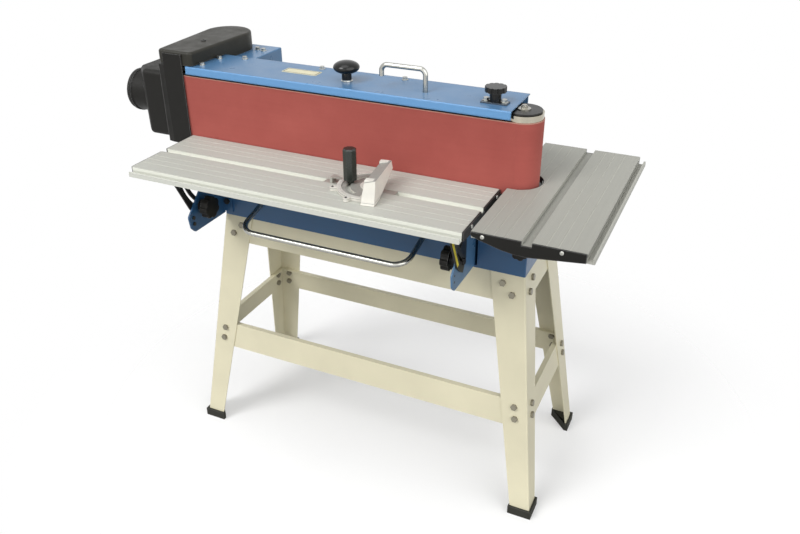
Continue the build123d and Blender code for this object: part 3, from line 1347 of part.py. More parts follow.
def make_cover_bolts():
    """The bolts of the cover and of the tracking plate."""
    bolts = [cover_bolt(x, y, COVER_TOP, COVER_TOP - COVER_BOLT_DEPTH) for x, y in cover_bolt_spots()]
    bolts += [cover_bolt(x, y, COVER_TOP + TRACK_PLATE[2], COVER_UNDER) for x, y in track_bolts()]
    roof = MOTOR_BOX_Z[1]
    bolts += [cover_bolt(x, y, roof, roof - COVER_BOLT_DEPTH) for x, y in motor_box_bolt_spots()]
    return group(bolts)


def make_tracking_plate():
    """The small plate under the tracking knob."""
    length, depth, thick = TRACK_PLATE
    x0, y0 = TRACK_X - length / 2, TRACK_Y - depth / 2
    plate = block(x0, x0 + length, y0, y0 + depth, COVER_TOP, COVER_TOP + thick)
    plate = plate - along_z(disc(TRACK_X, TRACK_Y, TRACK_STUD_R + RUN_FIT), COVER_TOP, COVER_TOP + thick)
    for x, y in track_bolts():
        plate = plate - along_z(disc(x, y, COVER_BOLT_R + GAP), COVER_TOP, COVER_TOP + thick)
    return plate


def make_tracking_knob():
    """The fluted tracking knob with its stem and stud."""
    seat = COVER_TOP + TRACK_PLATE[2] + GAP
    head_z = seat + TRACK_STEM
    outline = disc(TRACK_X, TRACK_Y, TRACK_HEAD_R)
    for i in range(TRACK_FLUTES):
        a = 2 * math.pi * i / TRACK_FLUTES
        spot = (TRACK_X + TRACK_HEAD_R * math.cos(a), TRACK_Y + TRACK_HEAD_R * math.sin(a))
        outline = outline - disc(*spot, TRACK_FLUTE_R)
    knob = along_z(disc(TRACK_X, TRACK_Y, TRACK_STEM_R), seat, head_z)
    knob = knob + along_z(outline, head_z, head_z + TRACK_HEAD)
    return knob + along_z(disc(TRACK_X, TRACK_Y, TRACK_STUD_R), COVER_UNDER, seat)


def make_cover_knob():
    """The mushroom knob that holds the cover, with its washer face and stud."""
    seat = COVER_TOP + GAP
    knob = along_z(disc(CAP_X, CAP_Y, CAP_WASHER_R), seat, seat + CAP_WASHER)
    knob = knob + along_z(disc(CAP_X, CAP_Y, CAP_STEM_R), seat, seat + CAP_STEM)
    low = seat + CAP_STEM - CAP_HEAD / 4
    half = CAP_HEAD / 2
    dome = Pos(CAP_X, CAP_Y, low + half) * scale(Sphere(half), (CAP_HEAD_R / half, CAP_HEAD_R / half, 1))
    return knob + dome + along_z(disc(CAP_X, CAP_Y, CAP_STUD_R), COVER_TOP - CAP_STUD_DEPTH, seat)


def make_release_lever():
    """The bent chrome lever that slackens the belt."""
    tip_x = LEVER_X - LEVER_ARM
    tip_z = COVER_TOP + LEVER_TIP_RISE
    points = ((LEVER_X, LEVER_ROOT_Z), (LEVER_X, LEVER_TOP_Z), (tip_x, LEVER_TOP_Z), (tip_x, tip_z))
    path = Plane.XZ.offset(-LEVER_Y) * FilletPolyline(*points, radius=LEVER_BEND)
    start = Plane((LEVER_X, LEVER_Y, LEVER_ROOT_Z))
    return sweep(start * Circle(LEVER_R), path=path)


def make_idler_yoke():
    """The sliding yoke: slide bar, web, and the two arms that hold the idler axle."""
    web = block(*YOKE_WEB_X, *YOKE_WEB_Y, YOKE_LOWER_ARM_Z[0], YOKE_TOP_Z)
    half = SLIDE_BAR_HALF
    x0 = SLIDE_BAR_LEFT + 2 * IDLER_TRAVEL
    bar = block(x0, YOKE_WEB_X[0], DRUM_Y - half, DRUM_Y + half, SLIDE_BAR_Z - half, SLIDE_BAR_Z + half)
    top = along_z(disc(IDLER_X, DRUM_Y, YOKE_CAP_R), YOKE_TOP_ARM_Z, YOKE_TOP_Z)
    top = top + block(YOKE_WEB_X[0], IDLER_X, *YOKE_WEB_Y, YOKE_TOP_ARM_Z, YOKE_TOP_Z)
    low = block(YOKE_WEB_X[0], IDLER_X, *YOKE_WEB_Y, *YOKE_LOWER_ARM_Z)
    low = low + along_z(disc(IDLER_X, DRUM_Y, YOKE_EYE_R), *YOKE_LOWER_ARM_Z)
    yoke = web + bar + top + low
    return yoke - along_z(disc(IDLER_X, DRUM_Y, SHAFT_R + RUN_FIT), YOKE_LOWER_ARM_Z[0], YOKE_TOP_Z)


def make_idler_axle():
    """The fixed axle of the idler drum, with the washer and nut on the yoke."""
    seat = YOKE_TOP_Z
    nut_top = seat + AXLE_WASHER + AXLE_NUT
    axle = along_z(disc(IDLER_X, DRUM_Y, SHAFT_R), YOKE_LOWER_ARM_Z[0], seat)
    axle = axle + along_z(disc(IDLER_X, DRUM_Y, AXLE_WASHER_R), seat, seat + AXLE_WASHER)
    axle = axle + along_z(hexagon(IDLER_X, DRUM_Y, AXLE_NUT_HEX), seat + AXLE_WASHER, nut_top)
    return axle + along_z(disc(IDLER_X, DRUM_Y, SHAFT_R / 2), nut_top, nut_top + AXLE_STICK_OUT)


def switch_face():
    """The outer face of the switch box."""
    return MOTOR_BOX_X[1] + SWITCH_DEPTH


def button_spots():
    """The start and stop buttons' places, as y and z."""
    y = sum(SWITCH_Y) / 2
    middle = sum(SWITCH_Z) / 2
    return (y, middle + BUTTON_DROP), (y, middle - BUTTON_DROP)


def make_switch_box():
    """The switch box on the side of the motor box, with two button bores."""
    box = block(MOTOR_BOX_X[1], switch_face(), *SWITCH_Y, *SWITCH_Z)
    box = fillet(box.edges().filter_by(Axis.X), SWITCH_ROUND)
    for y, z in button_spots():
        bore = disc(y, z, BUTTON_R + RUN_FIT)
        box = box - along_x(bore, switch_face() - SWITCH_BORE_DEPTH, switch_face())
    return box


def make_button(spot, mushroom):
    """A push button in its bore, with a wide head for stopping."""
    face = switch_face()
    tip = face + BUTTON_STICK_OUT
    button = along_x(disc(*spot, BUTTON_R), face - BUTTON_STEM, tip)
    if mushroom:
        button = button + along_x(disc(*spot, STOP_HEAD_R), tip, tip + STOP_HEAD)
    return button


def make_cable_gland():
    """The cable gland at the back of the motor box, closed with a plug."""
    y1 = MOTOR_BOX_REAR_Y
    gland = along_y(disc(GLAND_X, GLAND_Z, GLAND_R), y1 - MOTOR_BOX_SHEET, y1 + GLAND_LENGTH)
    return gland + along_y(hexagon(GLAND_X, GLAND_Z, GLAND_HEX), y1, y1 + GLAND_LENGTH / 2)


def make_miter_bar():
    """The miter gauge's bar in the slot, with its pivot, pointer and handle bore."""
    half = SLOT_WIDTH / 2 - GAP
    low, high = TABLE_TOP - SLOT_DEPTH + MITER_BAR_DROP, TABLE_TOP - MITER_BAR_DROP
    bar = block(*MITER_BAR_X, SLOT_Y - half, SLOT_Y + half, low, high)
    pivot_top = TABLE_TOP + MITER_PLATE - GAP
    bar = bar + along_z(disc(MITER_PIVOT_X, SLOT_Y, MITER_PIVOT_R), high, pivot_top)
    tail = POINTER_FOOT_X + POINTER_FOOT
    y0, y1 = SLOT_Y - POINTER_HALF, SLOT_Y + POINTER_HALF
    under = TABLE_TOP + POINTER_LIFT
    over = under + POINTER_THICK
    bar = bar + block(POINTER_FOOT_X, tail, y0, y1, high, over)
    flag = shape_of(((POINTER_TIP_X, SLOT_Y), (tail, y1), (tail, y0)))
    bar = bar + along_z(flag, under, over)
    return bar - along_z(disc(MITER_STUD_X, SLOT_Y, MITER_STUD_R + RUN_FIT), low, high)


def miter_fence():
    """The cast fence, square to the bar, measured from the pivot."""
    x0, x1 = MITER_FENCE_X
    z0, z1 = MITER_LIFT, MITER_FENCE_TOP
    front_low, front_high = MITER_FENCE_FRONT
    rear_low, rear_out, rear_high = MITER_FENCE_REAR
    side = ((front_low, z0), (front_high, z1), (rear_high, z1), (rear_out, MITER_FENCE_CUT), (rear_low, z0))
    fence = along_x(shape_of(side), x0, x1)
    far = x0 - 2 * MITER_FENCE_LEAN
    lean_cut = ((far, z0), (x0, z0), (x0 + MITER_FENCE_LEAN, z1), (far, z1))
    fence = fence - along_y(shape_of(lean_cut), 2 * front_low, 2 * rear_out)
    floor = z1 - MITER_RECESS_DEPTH
    recess = ((far, z1), (MITER_RECESS_TOP_X, z1), (x0, floor), (far, floor))
    return fence - along_y(shape_of(recess), *MITER_RECESS_Y)


def miter_sector(inner, outer, angle):
    """Part of a flat ring round the pivot, on the side of the handle."""
    a = math.radians(angle)
    far = 2 * outer
    x, y = -far * math.cos(a), far * math.sin(a)
    wedge = shape_of(((0, 0), (x, y), (-far, y), (-far, -y), (x, -y)))
    ring = disc(0, 0, outer) - disc(0, 0, inner)
    return ring & wedge


def make_miter_head():
    """The miter gauge's cast head: half disc with an arc slot, stop lugs and fence, turned on its pivot."""
    x0 = MITER_FENCE_X[0]
    r = MITER_R
    plate = disc(0, 0, r) & shape_of(((-r, -r), (x0, -r), (x0, r), (-r, r)))
    slot = miter_sector(MITER_ARC_R - MITER_ARC_HALF, MITER_ARC_R + MITER_ARC_HALF, MITER_ARC_ANGLE)
    for side in (-1, 1):
        a = math.radians(180 + side * MITER_ARC_ANGLE)
        slot = slot + disc(MITER_ARC_R * math.cos(a), MITER_ARC_R * math.sin(a), MITER_ARC_HALF)
    half, reach = MITER_LUG_HALF, -MITER_LUG_R
    lug = disc(reach, 0, half) + shape_of(((reach, -half), (0, -half), (0, half), (reach, half)))
    for angle in MITER_LUG_ANGLES:
        plate = plate + Rot(0, 0, angle) * lug
    edge_x = x0 + MITER_FENCE_LEAN
    edge = shape_of(((0, -r), (edge_x, -r), (edge_x, -x0), (0, -x0)))
    plate = along_z((plate + edge) - slot, MITER_LIFT, MITER_PLATE)
    pocket = miter_sector(*MITER_POCKET_R, MITER_POCKET_ANGLE)
    plate = plate - along_z(pocket, MITER_POCKET_FLOOR, MITER_PLATE)
    head = plate + miter_fence()
    head = head - along_z(disc(0, 0, MITER_PIVOT_R + GAP), 0, MITER_PLATE)
    return Pos(MITER_PIVOT_X, SLOT_Y, TABLE_TOP) * Rot(0, 0, MITER_ANGLE) * head


def make_miter_handle():
    """The faceted handle that locks the miter head, with its stud in the bar."""
    x, y = MITER_STUD_X, SLOT_Y
    grip = Pos(x, y) * RegularPolygon(MITER_HANDLE_R, MITER_HANDLE_SIDES, major_radius=False)
    z0 = TABLE_TOP + MITER_HANDLE_BASE
    handle = along_z(grip, z0, TABLE_TOP + MITER_HANDLE_TOP)
    handle = chamfer(handle.edges().group_by(Axis.Z)[-1], MITER_PLATE / 4)
    seat = TABLE_TOP + MITER_POCKET_FLOOR + GAP
    handle = handle + along_z(disc(x, y, 2 * MITER_STUD_R), seat, z0)
    low = TABLE_TOP - SLOT_DEPTH + MITER_BAR_DROP
    return handle + along_z(disc(x, y, MITER_STUD_R), low, z0)


def make_nodes():
    """Every named piece of the machine."""
    sides = (("left", -1), ("right", 1))
    nodes = {}
    for front_name, side_y in (("front", -1), ("rear", 1)):
        for side_name, side_x in sides:
            nodes[f"leg_{front_name}_{side_name}"] = make_leg(side_x, side_y)
    nodes["upper_rails_long"] = group([long_rail(side, STAND_TOP, UPPER_FLANGE) for side in (-1, 1)])
    nodes["upper_rails_short"] = group([short_rail(side, STAND_TOP, UPPER_FLANGE) for side in (-1, 1)])
    nodes["lower_rails_long"] = group([long_rail(side, LOWER_RAIL_TOP, LOWER_FLANGE) for side in (-1, 1)])
    nodes["lower_rails_short"] = group([short_rail(side, LOWER_RAIL_TOP, LOWER_FLANGE) for side in (-1, 1)])
    nodes["stand_feet"] = group([make_foot(sx, sy) for sx in (-1, 1) for sy in (-1, 1)])
    nodes["stand_bolts"] = make_stand_bolts()
    nodes["base_housing"] = make_base_housing()
    nodes["front_bar"] = make_front_bar()
    nodes["tilt_bracket_left"] = make_bracket(BRACKET_LEFT_X, 1)
    nodes["tilt_bracket_right"] = make_bracket(BRACKET_RIGHT_X, -1)
    nodes["bracket_screws"] = make_bracket_screws()
    nodes["hinge_pins"] = make_hinge_pins()
    nodes["main_table"] = make_main_table()
    nodes["table_end_plates"] = make_table_end_plates()
    nodes["table_screws"] = make_table_screws()
    nodes["tilt_arm_left"] = make_arm(BRACKET_LEFT_X, 1)
    nodes["tilt_arm_right"] = make_arm(BRACKET_RIGHT_X, -1)
    nodes["lock_knob_left"] = make_lock_knob(BRACKET_LEFT_X, 1)
    nodes["lock_knob_right"] = make_lock_knob(BRACKET_RIGHT_X, -1)
    nodes["side_table"] = make_side_table()
    nodes["side_end_plates"] = make_side_end_plates()
    nodes["side_screws"] = make_side_screws()
    nodes["side_posts"] = make_side_posts()
    nodes["side_knob"] = make_side_knob()
    nodes["head_frame"] = make_head_frame()
    nodes["platen_pad"] = make_platen_pad()
    nodes["sanding_belt"] = make_sanding_belt()
    nodes["top_cover"] = make_top_cover()
    nodes["rear_guard"] = make_rear_guard()
    nodes["cover_bolts"] = make_cover_bolts()
    nodes["cover_knob"] = make_cover_knob()
    nodes["release_lever"] = make_release_lever()
    nodes["tracking_plate"] = make_tracking_plate()
    nodes["tracking_knob"] = make_tracking_knob()
    nodes["idler_yoke"] = make_idler_yoke()
    nodes["idler_axle"] = make_idler_axle()
    nodes["idler_drum"] = drum_at(IDLER_X, IDLER_DRUM_MARGINS, SHAFT_R + RUN_FIT)
    nodes["drive_drum"] = drum_at(DRIVE_X, DRIVE_DRUM_MARGINS, SHAFT_R + RUN_FIT)
    nodes["drive_shaft"] = make_drive_shaft()
    nodes["drive_bearings"] = make_drive_bearings()
    nodes["drum_pulley"] = pulley_at(DRIVE_X, DRUM_Y, DRUM_PULLEY_R, SHAFT_R + RUN_FIT)
    nodes["drive_belt"] = make_drive_belt()
    nodes["motor_pulley"] = make_motor_pulley()
    nodes["motor"] = make_motor()
    nodes["motor_housing"] = make_motor_housing()
    nodes["drive_cover"] = make_drive_cover()
    nodes["drive_cover_screw"] = make_drive_cover_screw()
    nodes["drum_guard"] = make_drum_guard()
    nodes["dust_hood"] = make_dust_hood()
    nodes["switch_box"] = make_switch_box()
    start, stop = button_spots()
    nodes["start_button"] = make_button(start, False)
    nodes["stop_button"] = make_button(stop, True)
    nodes["cable_gland"] = make_cable_gland()
    nodes["miter_bar"] = make_miter_bar()
    nodes["miter_head"] = make_miter_head()
    nodes["miter_handle"] = make_miter_handle()
    return nodes


def main():
    """Write every piece to its own file, in the shared frame."""
    os.makedirs("parts", exist_ok=True)
    for name, shape in make_nodes().items():
        export_step(Pos(-ORIGIN_X, -ORIGIN_Y, 0) * shape, f"parts/{name}.step")


if __name__ == "__main__":
    main()
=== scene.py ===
import json
import math

import bmesh
import bpy
from mathutils import Matrix, Quaternion, Vector


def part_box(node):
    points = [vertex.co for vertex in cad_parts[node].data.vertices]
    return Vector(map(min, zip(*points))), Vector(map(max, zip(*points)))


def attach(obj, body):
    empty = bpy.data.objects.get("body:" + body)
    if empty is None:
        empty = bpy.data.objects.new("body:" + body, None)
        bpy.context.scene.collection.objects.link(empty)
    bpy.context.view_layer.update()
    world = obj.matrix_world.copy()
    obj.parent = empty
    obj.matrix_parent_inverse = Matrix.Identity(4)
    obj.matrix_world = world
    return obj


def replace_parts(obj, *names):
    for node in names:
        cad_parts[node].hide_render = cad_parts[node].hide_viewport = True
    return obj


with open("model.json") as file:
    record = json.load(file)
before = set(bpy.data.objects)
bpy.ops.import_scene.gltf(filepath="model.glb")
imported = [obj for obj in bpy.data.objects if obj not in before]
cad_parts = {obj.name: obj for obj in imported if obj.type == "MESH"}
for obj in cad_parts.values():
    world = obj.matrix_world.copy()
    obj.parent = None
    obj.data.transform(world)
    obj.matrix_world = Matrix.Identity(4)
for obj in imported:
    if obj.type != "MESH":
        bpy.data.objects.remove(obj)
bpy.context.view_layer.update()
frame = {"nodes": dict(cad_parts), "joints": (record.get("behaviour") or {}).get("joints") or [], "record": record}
nodes = frame["nodes"]
joint_at = {joint["name"]: Vector(joint["pos_m"]) for joint in frame["joints"] if "pos_m" in joint}
scene = bpy.context.scene

MM = 0.001
X = (1, 0, 0)
Y = (0, 1, 0)
Z = (0, 0, 1)

# Sizes and angles that follow the construction, in metres and radians
GROOVE_DEPTH = 0.6 * MM
SLOT_DEPTH = 9 * MM
SLOT_HALF = 9.4 * MM
SLOT_MIDDLE = 102.9 * MM
LIP_DROP = 8.6 * MM
NOTCH_R = 50 * MM
ARM_SHEET = 3 * MM
SCREW_HEAD_R = 4 * MM
SCREW_HEAD = 2.2 * MM
GAUGE_TURN = math.radians(9)
GAUGE_PLATE = 8 * MM
GAUGE_POCKET_DEPTH = 2.5 * MM
GAUGE_POCKET_R = 60 * MM
GAUGE_LUG_R = 77 * MM
GAUGE_LUG_ANGLES = (math.radians(201.5), math.radians(248))
RECESS_EDGE_X = 31 * MM
RECESS_RUN = 27 * MM
RECESS_DROP = 6.5 * MM

# Sizes of the finishes alone, in metres
RIB_PITCH = 2.6 * MM
# The reach of the painted shade round the tilt hinge on the right bracket
HINGE_SHADE_RADIUS = 136 * MM
HINGE_SHADE_BACK = 50 * MM
COVER_ROLL = 5 * MM
KNOB_WASHER = 4 * MM

# The grain of drawn metal along its run and across it, per metre
DRAWN_LONG = 3.0
DRAWN_FINE = 1400.0


def srgb(red, green, blue):
    """A colour read off the screen, 0 to 255, as the linear values that shaders take."""
    parts = []
    for value in (red, green, blue):
        value = value / 255
        parts.append(value / 12.92 if value <= 0.04045 else ((value + 0.055) / 1.055) ** 2.4)
    return (*parts, 1.0)


def grey(value):
    """A linear grey."""
    return (value, value, value, 1.0)


def shade(color, factor):
    """A linear colour made lighter or darker."""
    return (*(min(1.0, part * factor) for part in color[:3]), 1.0)


CREAM = srgb(211, 205, 178)
BLUE = srgb(77, 118, 157)
# A darker copy of BLUE: painted shade for the base and the left bracket under the tables
SHADOWED_BLUE = srgb(39, 80, 118)
SATIN_BLACK = srgb(24, 25, 23)
GLOSS_BLACK = srgb(14, 15, 14)


class Shader:
    """One material's node tree, built up a node at a time."""

    def __init__(self, name):
        self.material = bpy.data.materials.new(name)
        self.material.use_nodes = True
        self.tree = self.material.node_tree
        self.tree.nodes.clear()
        self.output = self.add("OutputMaterial")
        self.surface = self.add("BsdfPrincipled")
        self.put(self.output.inputs["Surface"], self.surface.outputs[0])
        self.place = self.add("TexCoord").outputs["Object"]

    def add(self, kind, operation=None):
        """A new node, set to an operation where it has several."""
        node = self.tree.nodes.new("ShaderNode" + kind)
        if operation:
            node.operation = operation
        return node

    def put(self, socket, value):
        """Links a socket to another, or sets it to a plain value."""
        if isinstance(value, bpy.types.NodeSocket):
            self.tree.links.new(value, socket)
        else:
            socket.default_value = value

    def set(self, **values):
        """Sets inputs of the main shader, written with underscores for spaces."""
        for name, value in values.items():
            self.put(self.surface.inputs[name.replace("_", " ")], value)

    def stretch(self, scale):
        """Object coordinates scaled differently along each axis."""
        node = self.add("Mapping")
        self.put(node.inputs["Scale"], scale)
        self.put(node.inputs["Vector"], self.place)
        return node.outputs[0]

    def noise(self, scale, detail=3.0, rough=0.55, vector=None):
        """Cloudy noise, with scale counted per metre."""
        node = self.add("TexNoise")
        self.put(node.inputs["Scale"], scale)
        self.put(node.inputs["Detail"], detail)
        self.put(node.inputs["Roughness"], rough)
        self.put(node.inputs["Vector"], vector or self.place)
        return node.outputs["Fac"]

    def cells(self, scale):
        """The distance to the nearest of many scattered points, for a pebbled skin."""
        node = self.add("TexVoronoi")
        self.put(node.inputs["Scale"], scale)
        self.put(node.inputs["Vector"], self.place)
        return node.outputs["Distance"]

    def math(self, kind, first, second=0.0):
        """One arithmetic step on one or two values."""
        node = self.add("Math", kind)
        self.put(node.inputs[0], first)
        self.put(node.inputs[1], second)
        return node.outputs[0]

    def span(self, value, low, high, to_low=0.0, to_high=1.0):
        """Stretches the part of a value between low and high over a new range."""
        node = self.add("MapRange")
        for socket, number in zip(node.inputs[:5], (value, low, high, to_low, to_high)):
            self.put(socket, number)
        return node.outputs[0]

    def blend(self, amount, first, second):
        """Two colours mixed, the first at 0 and the second at 1."""
        node = self.add("Mix")
        node.data_type = "RGBA"
        self.put(node.inputs[0], amount)
        self.put(node.inputs[6], first)
        self.put(node.inputs[7], second)
        return node.outputs[2]

    def tint(self, mask, strength, first, second):
        """Two colours mixed by a mask at a strength."""
        return self.blend(self.math("MULTIPLY", mask, strength), first, second)

    def bump(self, height, strength, distance, normal=None):
        """The surface's normal, disturbed by a height."""
        node = self.add("Bump")
        self.put(node.inputs["Strength"], strength)
        self.put(node.inputs["Distance"], distance)
        self.put(node.inputs["Height"], height)
        if normal:
            self.put(node.inputs["Normal"], normal)
        return node.outputs[0]

    def rolled(self, radius):
        """The normal of the surface with its corners rolled to a radius."""
        node = self.add("Bevel")
        node.samples = 4
        self.put(node.inputs["Radius"], radius)
        return node.outputs[0]

    def edges(self, radius):
        """1 on outer and inner corners, 0 on flat faces, for worn edges and for painted highlight and shade along
        them.
        """
        dot = self.add("VectorMath", "DOT_PRODUCT")
        self.put(dot.inputs[0], self.rolled(radius))
        self.put(dot.inputs[1], self.add("NewGeometry").outputs["Normal"])
        return self.span(dot.outputs["Value"], 0.99, 0.8)

    def along(self, direction):
        """How far a point lies along a direction, in metres."""
        node = self.add("VectorMath", "DOT_PRODUCT")
        self.put(node.inputs[0], self.place)
        self.put(node.inputs[1], direction)
        return node.outputs["Value"]

    def away_from(self, axis_point, keep):
        """The distance from a line through a point, with 1 in keep for the two directions across it."""
        offset = self.add("VectorMath", "SUBTRACT")
        self.put(offset.inputs[0], self.stretch(keep))
        self.put(offset.inputs[1], [at * kept for at, kept in zip(axis_point, keep)])
        length = self.add("VectorMath", "LENGTH")
        self.put(length.inputs[0], offset.outputs[0])
        return length.outputs["Value"]

    def level(self, value, at, reach):
        """1 where a value is within reach of a level, fading to 0 just past it."""
        away = self.math("ABSOLUTE", self.math("SUBTRACT", value, at))
        return self.span(away, reach, 1.5 * reach, 1.0, 0.0)

    def below(self, value, start, end):
        """1 where a value is below start, fading to 0 at end."""
        return self.span(value, start, end, 1.0, 0.0)


def enamel(name, color, roughness, coat, wear_and_highlight, patch=None, roll=None):
    """Sprayed enamel with slight orange peel, uneven gloss, faint dust and paler edges, partly worn and partly
    painted highlight.

    A patch paints light or shade onto one place, and roll is the radius at which the corners catch light.
    """
    s = Shader(name)
    cloud = s.span(s.noise(scale=6.0, detail=4.0), 0.35, 0.7)
    tone = s.blend(cloud, shade(color, 0.94), shade(color, 1.04))
    specks = s.span(s.noise(scale=230.0, rough=0.6), 0.66, 0.78, 0.0, 0.12)
    tone = s.blend(specks, tone, shade(color, 0.7))
    uneven = s.span(s.noise(scale=90.0, detail=4.0, rough=0.7), 0.3, 0.65, 0.55, 1.0)
    worn_and_lit_edges = s.math("MULTIPLY", s.edges(0.6 * MM), uneven)
    # Paler edges: worn chips and a painted highlight
    tone = s.tint(worn_and_lit_edges, wear_and_highlight, tone, shade(color, 1.7))
    # A patch is painted light or painted shade
    if patch:
        where, over = patch(s)
        tone = s.blend(where, tone, over)
    gloss = s.span(s.noise(scale=24.0), 0.3, 0.7, roughness - 0.05, roughness + 0.07)
    s.set(Base_Color=tone, Roughness=gloss)
    s.set(Specular_IOR_Level=0.4, Coat_Weight=coat, Coat_Roughness=0.12)
    peel = s.noise(scale=620.0, detail=2.0)
    corners = s.rolled(roll) if roll else None
    s.set(Normal=s.bump(peel, strength=0.08, distance=0.6 * MM, normal=corners))
    return s.material


def hinge_painted_shade(s):
    """Painted shade: the face of a tilt bracket round its hinge, blackened where the table shades it."""
    soft = 0.5 * MM
    hinge = joint_at["table_tilt"]
    inside = s.below(s.away_from(hinge, keep=(0, 1, 1)), HINGE_SHADE_RADIUS - soft, HINGE_SHADE_RADIUS + soft)
    back = hinge.y - HINGE_SHADE_BACK
    ahead = s.below(s.along(Y), back - soft, back + soft)
    return s.math("MULTIPLY", inside, ahead), SATIN_BLACK


def base_top_painted_shade(s):
    """Painted shade: the top of the base, under the tables, darkened to black."""
    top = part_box("base_housing")[1].z
    return s.span(s.along(Z), top - 3 * MM, top - 1 * MM), SATIN_BLACK


def cover_lip_painted_light(s):
    """Painted light: the top cover's front lip made brighter, as if lit from the front."""
    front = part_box("top_cover")[0].y
    return s.below(s.along(Y), front + 1 * MM, front + 2 * MM), shade(BLUE, 1.65)


def extruded(name, color, run, slot_at, top, line, lip, gutter, slot_wall, slot_floor, notch=None):
    """Drawn aluminium: fine ribs along the extrusion's run, grooves painted pale as highlight, and painted light
    on some sunk faces and painted shade on others.

    slot_at is the slot's place across the run. line and lip say how strongly the painted highlight on the grooves
    and the lip shows.
    gutter, slot_wall and slot_floor are factors on the colour that paint light or shade on those faces, and notch
    is the radius of a cut edge painted black as shade.
    """
    s = Shader(name)
    across = s.along((run[1], run[0], 0))
    height = s.along(Z)
    grain = s.stretch([DRAWN_LONG if part else DRAWN_FINE for part in run])
    drawn = s.noise(scale=1.0, detail=5.0, rough=0.7, vector=grain)
    cloud = s.span(s.noise(scale=5.5), 0.3, 0.75)
    wave = s.math("SINE", s.math("MULTIPLY", across, 2 * math.pi / RIB_PITCH))
    ribs = s.span(wave, -1.0, 1.0)
    tone = s.blend(s.span(drawn, 0.3, 0.7), shade(color, 0.86), shade(color, 1.10))
    tone = s.tint(ribs, 0.5, tone, shade(color, 0.74))
    tone = s.tint(cloud, 0.3, tone, shade(color, 0.92))
    # Painted shade along the edges
    tone = s.tint(s.edges(0.7 * MM), 0.2, tone, shade(color, 0.7))
    # Groove floors made paler: painted highlight
    sunk = s.level(height, top - GROOVE_DEPTH, 0.3 * GROOVE_DEPTH)
    tone = s.tint(sunk, line, tone, shade(color, 1.5))
    in_slot = s.level(across, slot_at, SLOT_HALF + GROOVE_DEPTH)
    under_deck = s.below(height, top - 3 * GROOVE_DEPTH, top - 2 * GROOVE_DEPTH)
    under_lip = s.below(height, top - LIP_DROP, top - LIP_DROP + GROOVE_DEPTH)
    # Painted light and shade on the walls, the lip and the slot floor
    walls = s.blend(in_slot, shade(color, gutter), shade(color, slot_wall))
    tone = s.tint(s.math("SUBTRACT", under_deck, under_lip), 0.8, tone, walls)
    tone = s.tint(under_lip, lip, tone, shade(color, 1.3))
    slot_bottom = s.level(height, top - SLOT_DEPTH, 0.2 * GROOVE_DEPTH)
    tone = s.blend(slot_bottom, tone, shade(color, slot_floor))
    # The notch's cut edge painted black as shade
    if notch:
        radius = s.away_from(joint_at["idler_drum_spin"], keep=(1, 1, 0))
        cut = s.below(radius, notch + 0.4 * MM, notch + 0.6 * MM)
        sides = s.below(height, top - 2 * GROOVE_DEPTH, top - GROOVE_DEPTH)
        tone = s.tint(cut, sides, tone, SATIN_BLACK)
    scuff = s.span(s.noise(scale=34.0, detail=6.0, rough=0.72), 0.52, 0.78)
    rough = s.math("ADD", s.span(drawn, 0.3, 0.7, 0.5, 0.62), s.math("MULTIPLY", scuff, 0.08))
    s.set(Base_Color=tone, Metallic=0.12, Roughness=rough)
    s.set(Normal=s.bump(s.math("ADD", drawn, ribs), strength=0.16, distance=0.4 * MM))
    return s.material


def bare_metal(name, color, roughness, grain, bump, metallic=1.0, rim=1.35, edge=0.7 * MM):
    """Turned, plated or cast metal, told apart by its gloss and its grain. rim is the tone of its edges: painted
    highlight above 1, painted shade below 1.
    """
    s = Shader(name)
    fine = s.noise(scale=grain, detail=4.0, rough=0.62)
    cloud = s.span(s.noise(scale=18.0, detail=4.0), 0.3, 0.75)
    tone = s.blend(cloud, shade(color, 0.84), shade(color, 1.06))
    tone = s.tint(s.edges(edge), 0.5, tone, shade(color, rim))
    smoothest = max(0.04, roughness - 0.07)
    s.set(Base_Color=tone, Metallic=metallic, Roughness=s.span(fine, 0.3, 0.7, smoothest, roughness + 0.08))
    s.set(Normal=s.bump(fine, strength=bump, distance=0.5 * MM))
    return s.material


def gauge_casting():
    """The miter gauge's casting: machined outside, darker and mottled in its pocket and on the fence's recess
    face.
    """
    s = Shader("gauge_casting")
    machined = srgb(220, 217, 208)
    pocket_grey = srgb(150, 149, 143)
    worn_deck = srgb(190, 189, 183)
    pivot = joint_at["miter_turn"]
    plate_top = pivot.z + GAUGE_PLATE
    turn = Matrix.Rotation(GAUGE_TURN, 3, "Z")
    slope = turn @ Vector((-RECESS_DROP, 0, RECESS_RUN)).normalized()
    rim = pivot + turn @ Vector((RECESS_EDGE_X, 0, 0))
    rim.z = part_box("miter_head")[1].z
    height = s.along(Z)
    cloud = s.span(s.noise(scale=22.0, detail=4.0), 0.3, 0.75)
    tone = s.blend(cloud, shade(machined, 0.9), shade(machined, 1.04))
    recess_face = s.level(s.along(slope), rim.dot(slope), 0.7 * MM)
    pocket_floor = s.level(height, plate_top - GAUGE_POCKET_DEPTH, 0.4 * MM)
    spots = s.span(s.noise(scale=320.0, detail=5.0, rough=0.7), 0.3, 0.7)
    mottled = s.blend(spots, shade(pocket_grey, 0.8), shade(pocket_grey, 1.15))
    tone = s.blend(s.math("MAXIMUM", recess_face, pocket_floor), tone, mottled)
    tone = s.tint(s.level(height, plate_top, 0.3 * MM), 0.55, tone, worn_deck)
    fine = s.noise(scale=800.0, detail=4.0, rough=0.62)
    s.set(Base_Color=tone, Metallic=0.12, Roughness=s.span(fine, 0.3, 0.7, 0.42, 0.6))
    s.set(Normal=s.bump(fine, strength=0.25, distance=0.5 * MM))
    return s.material


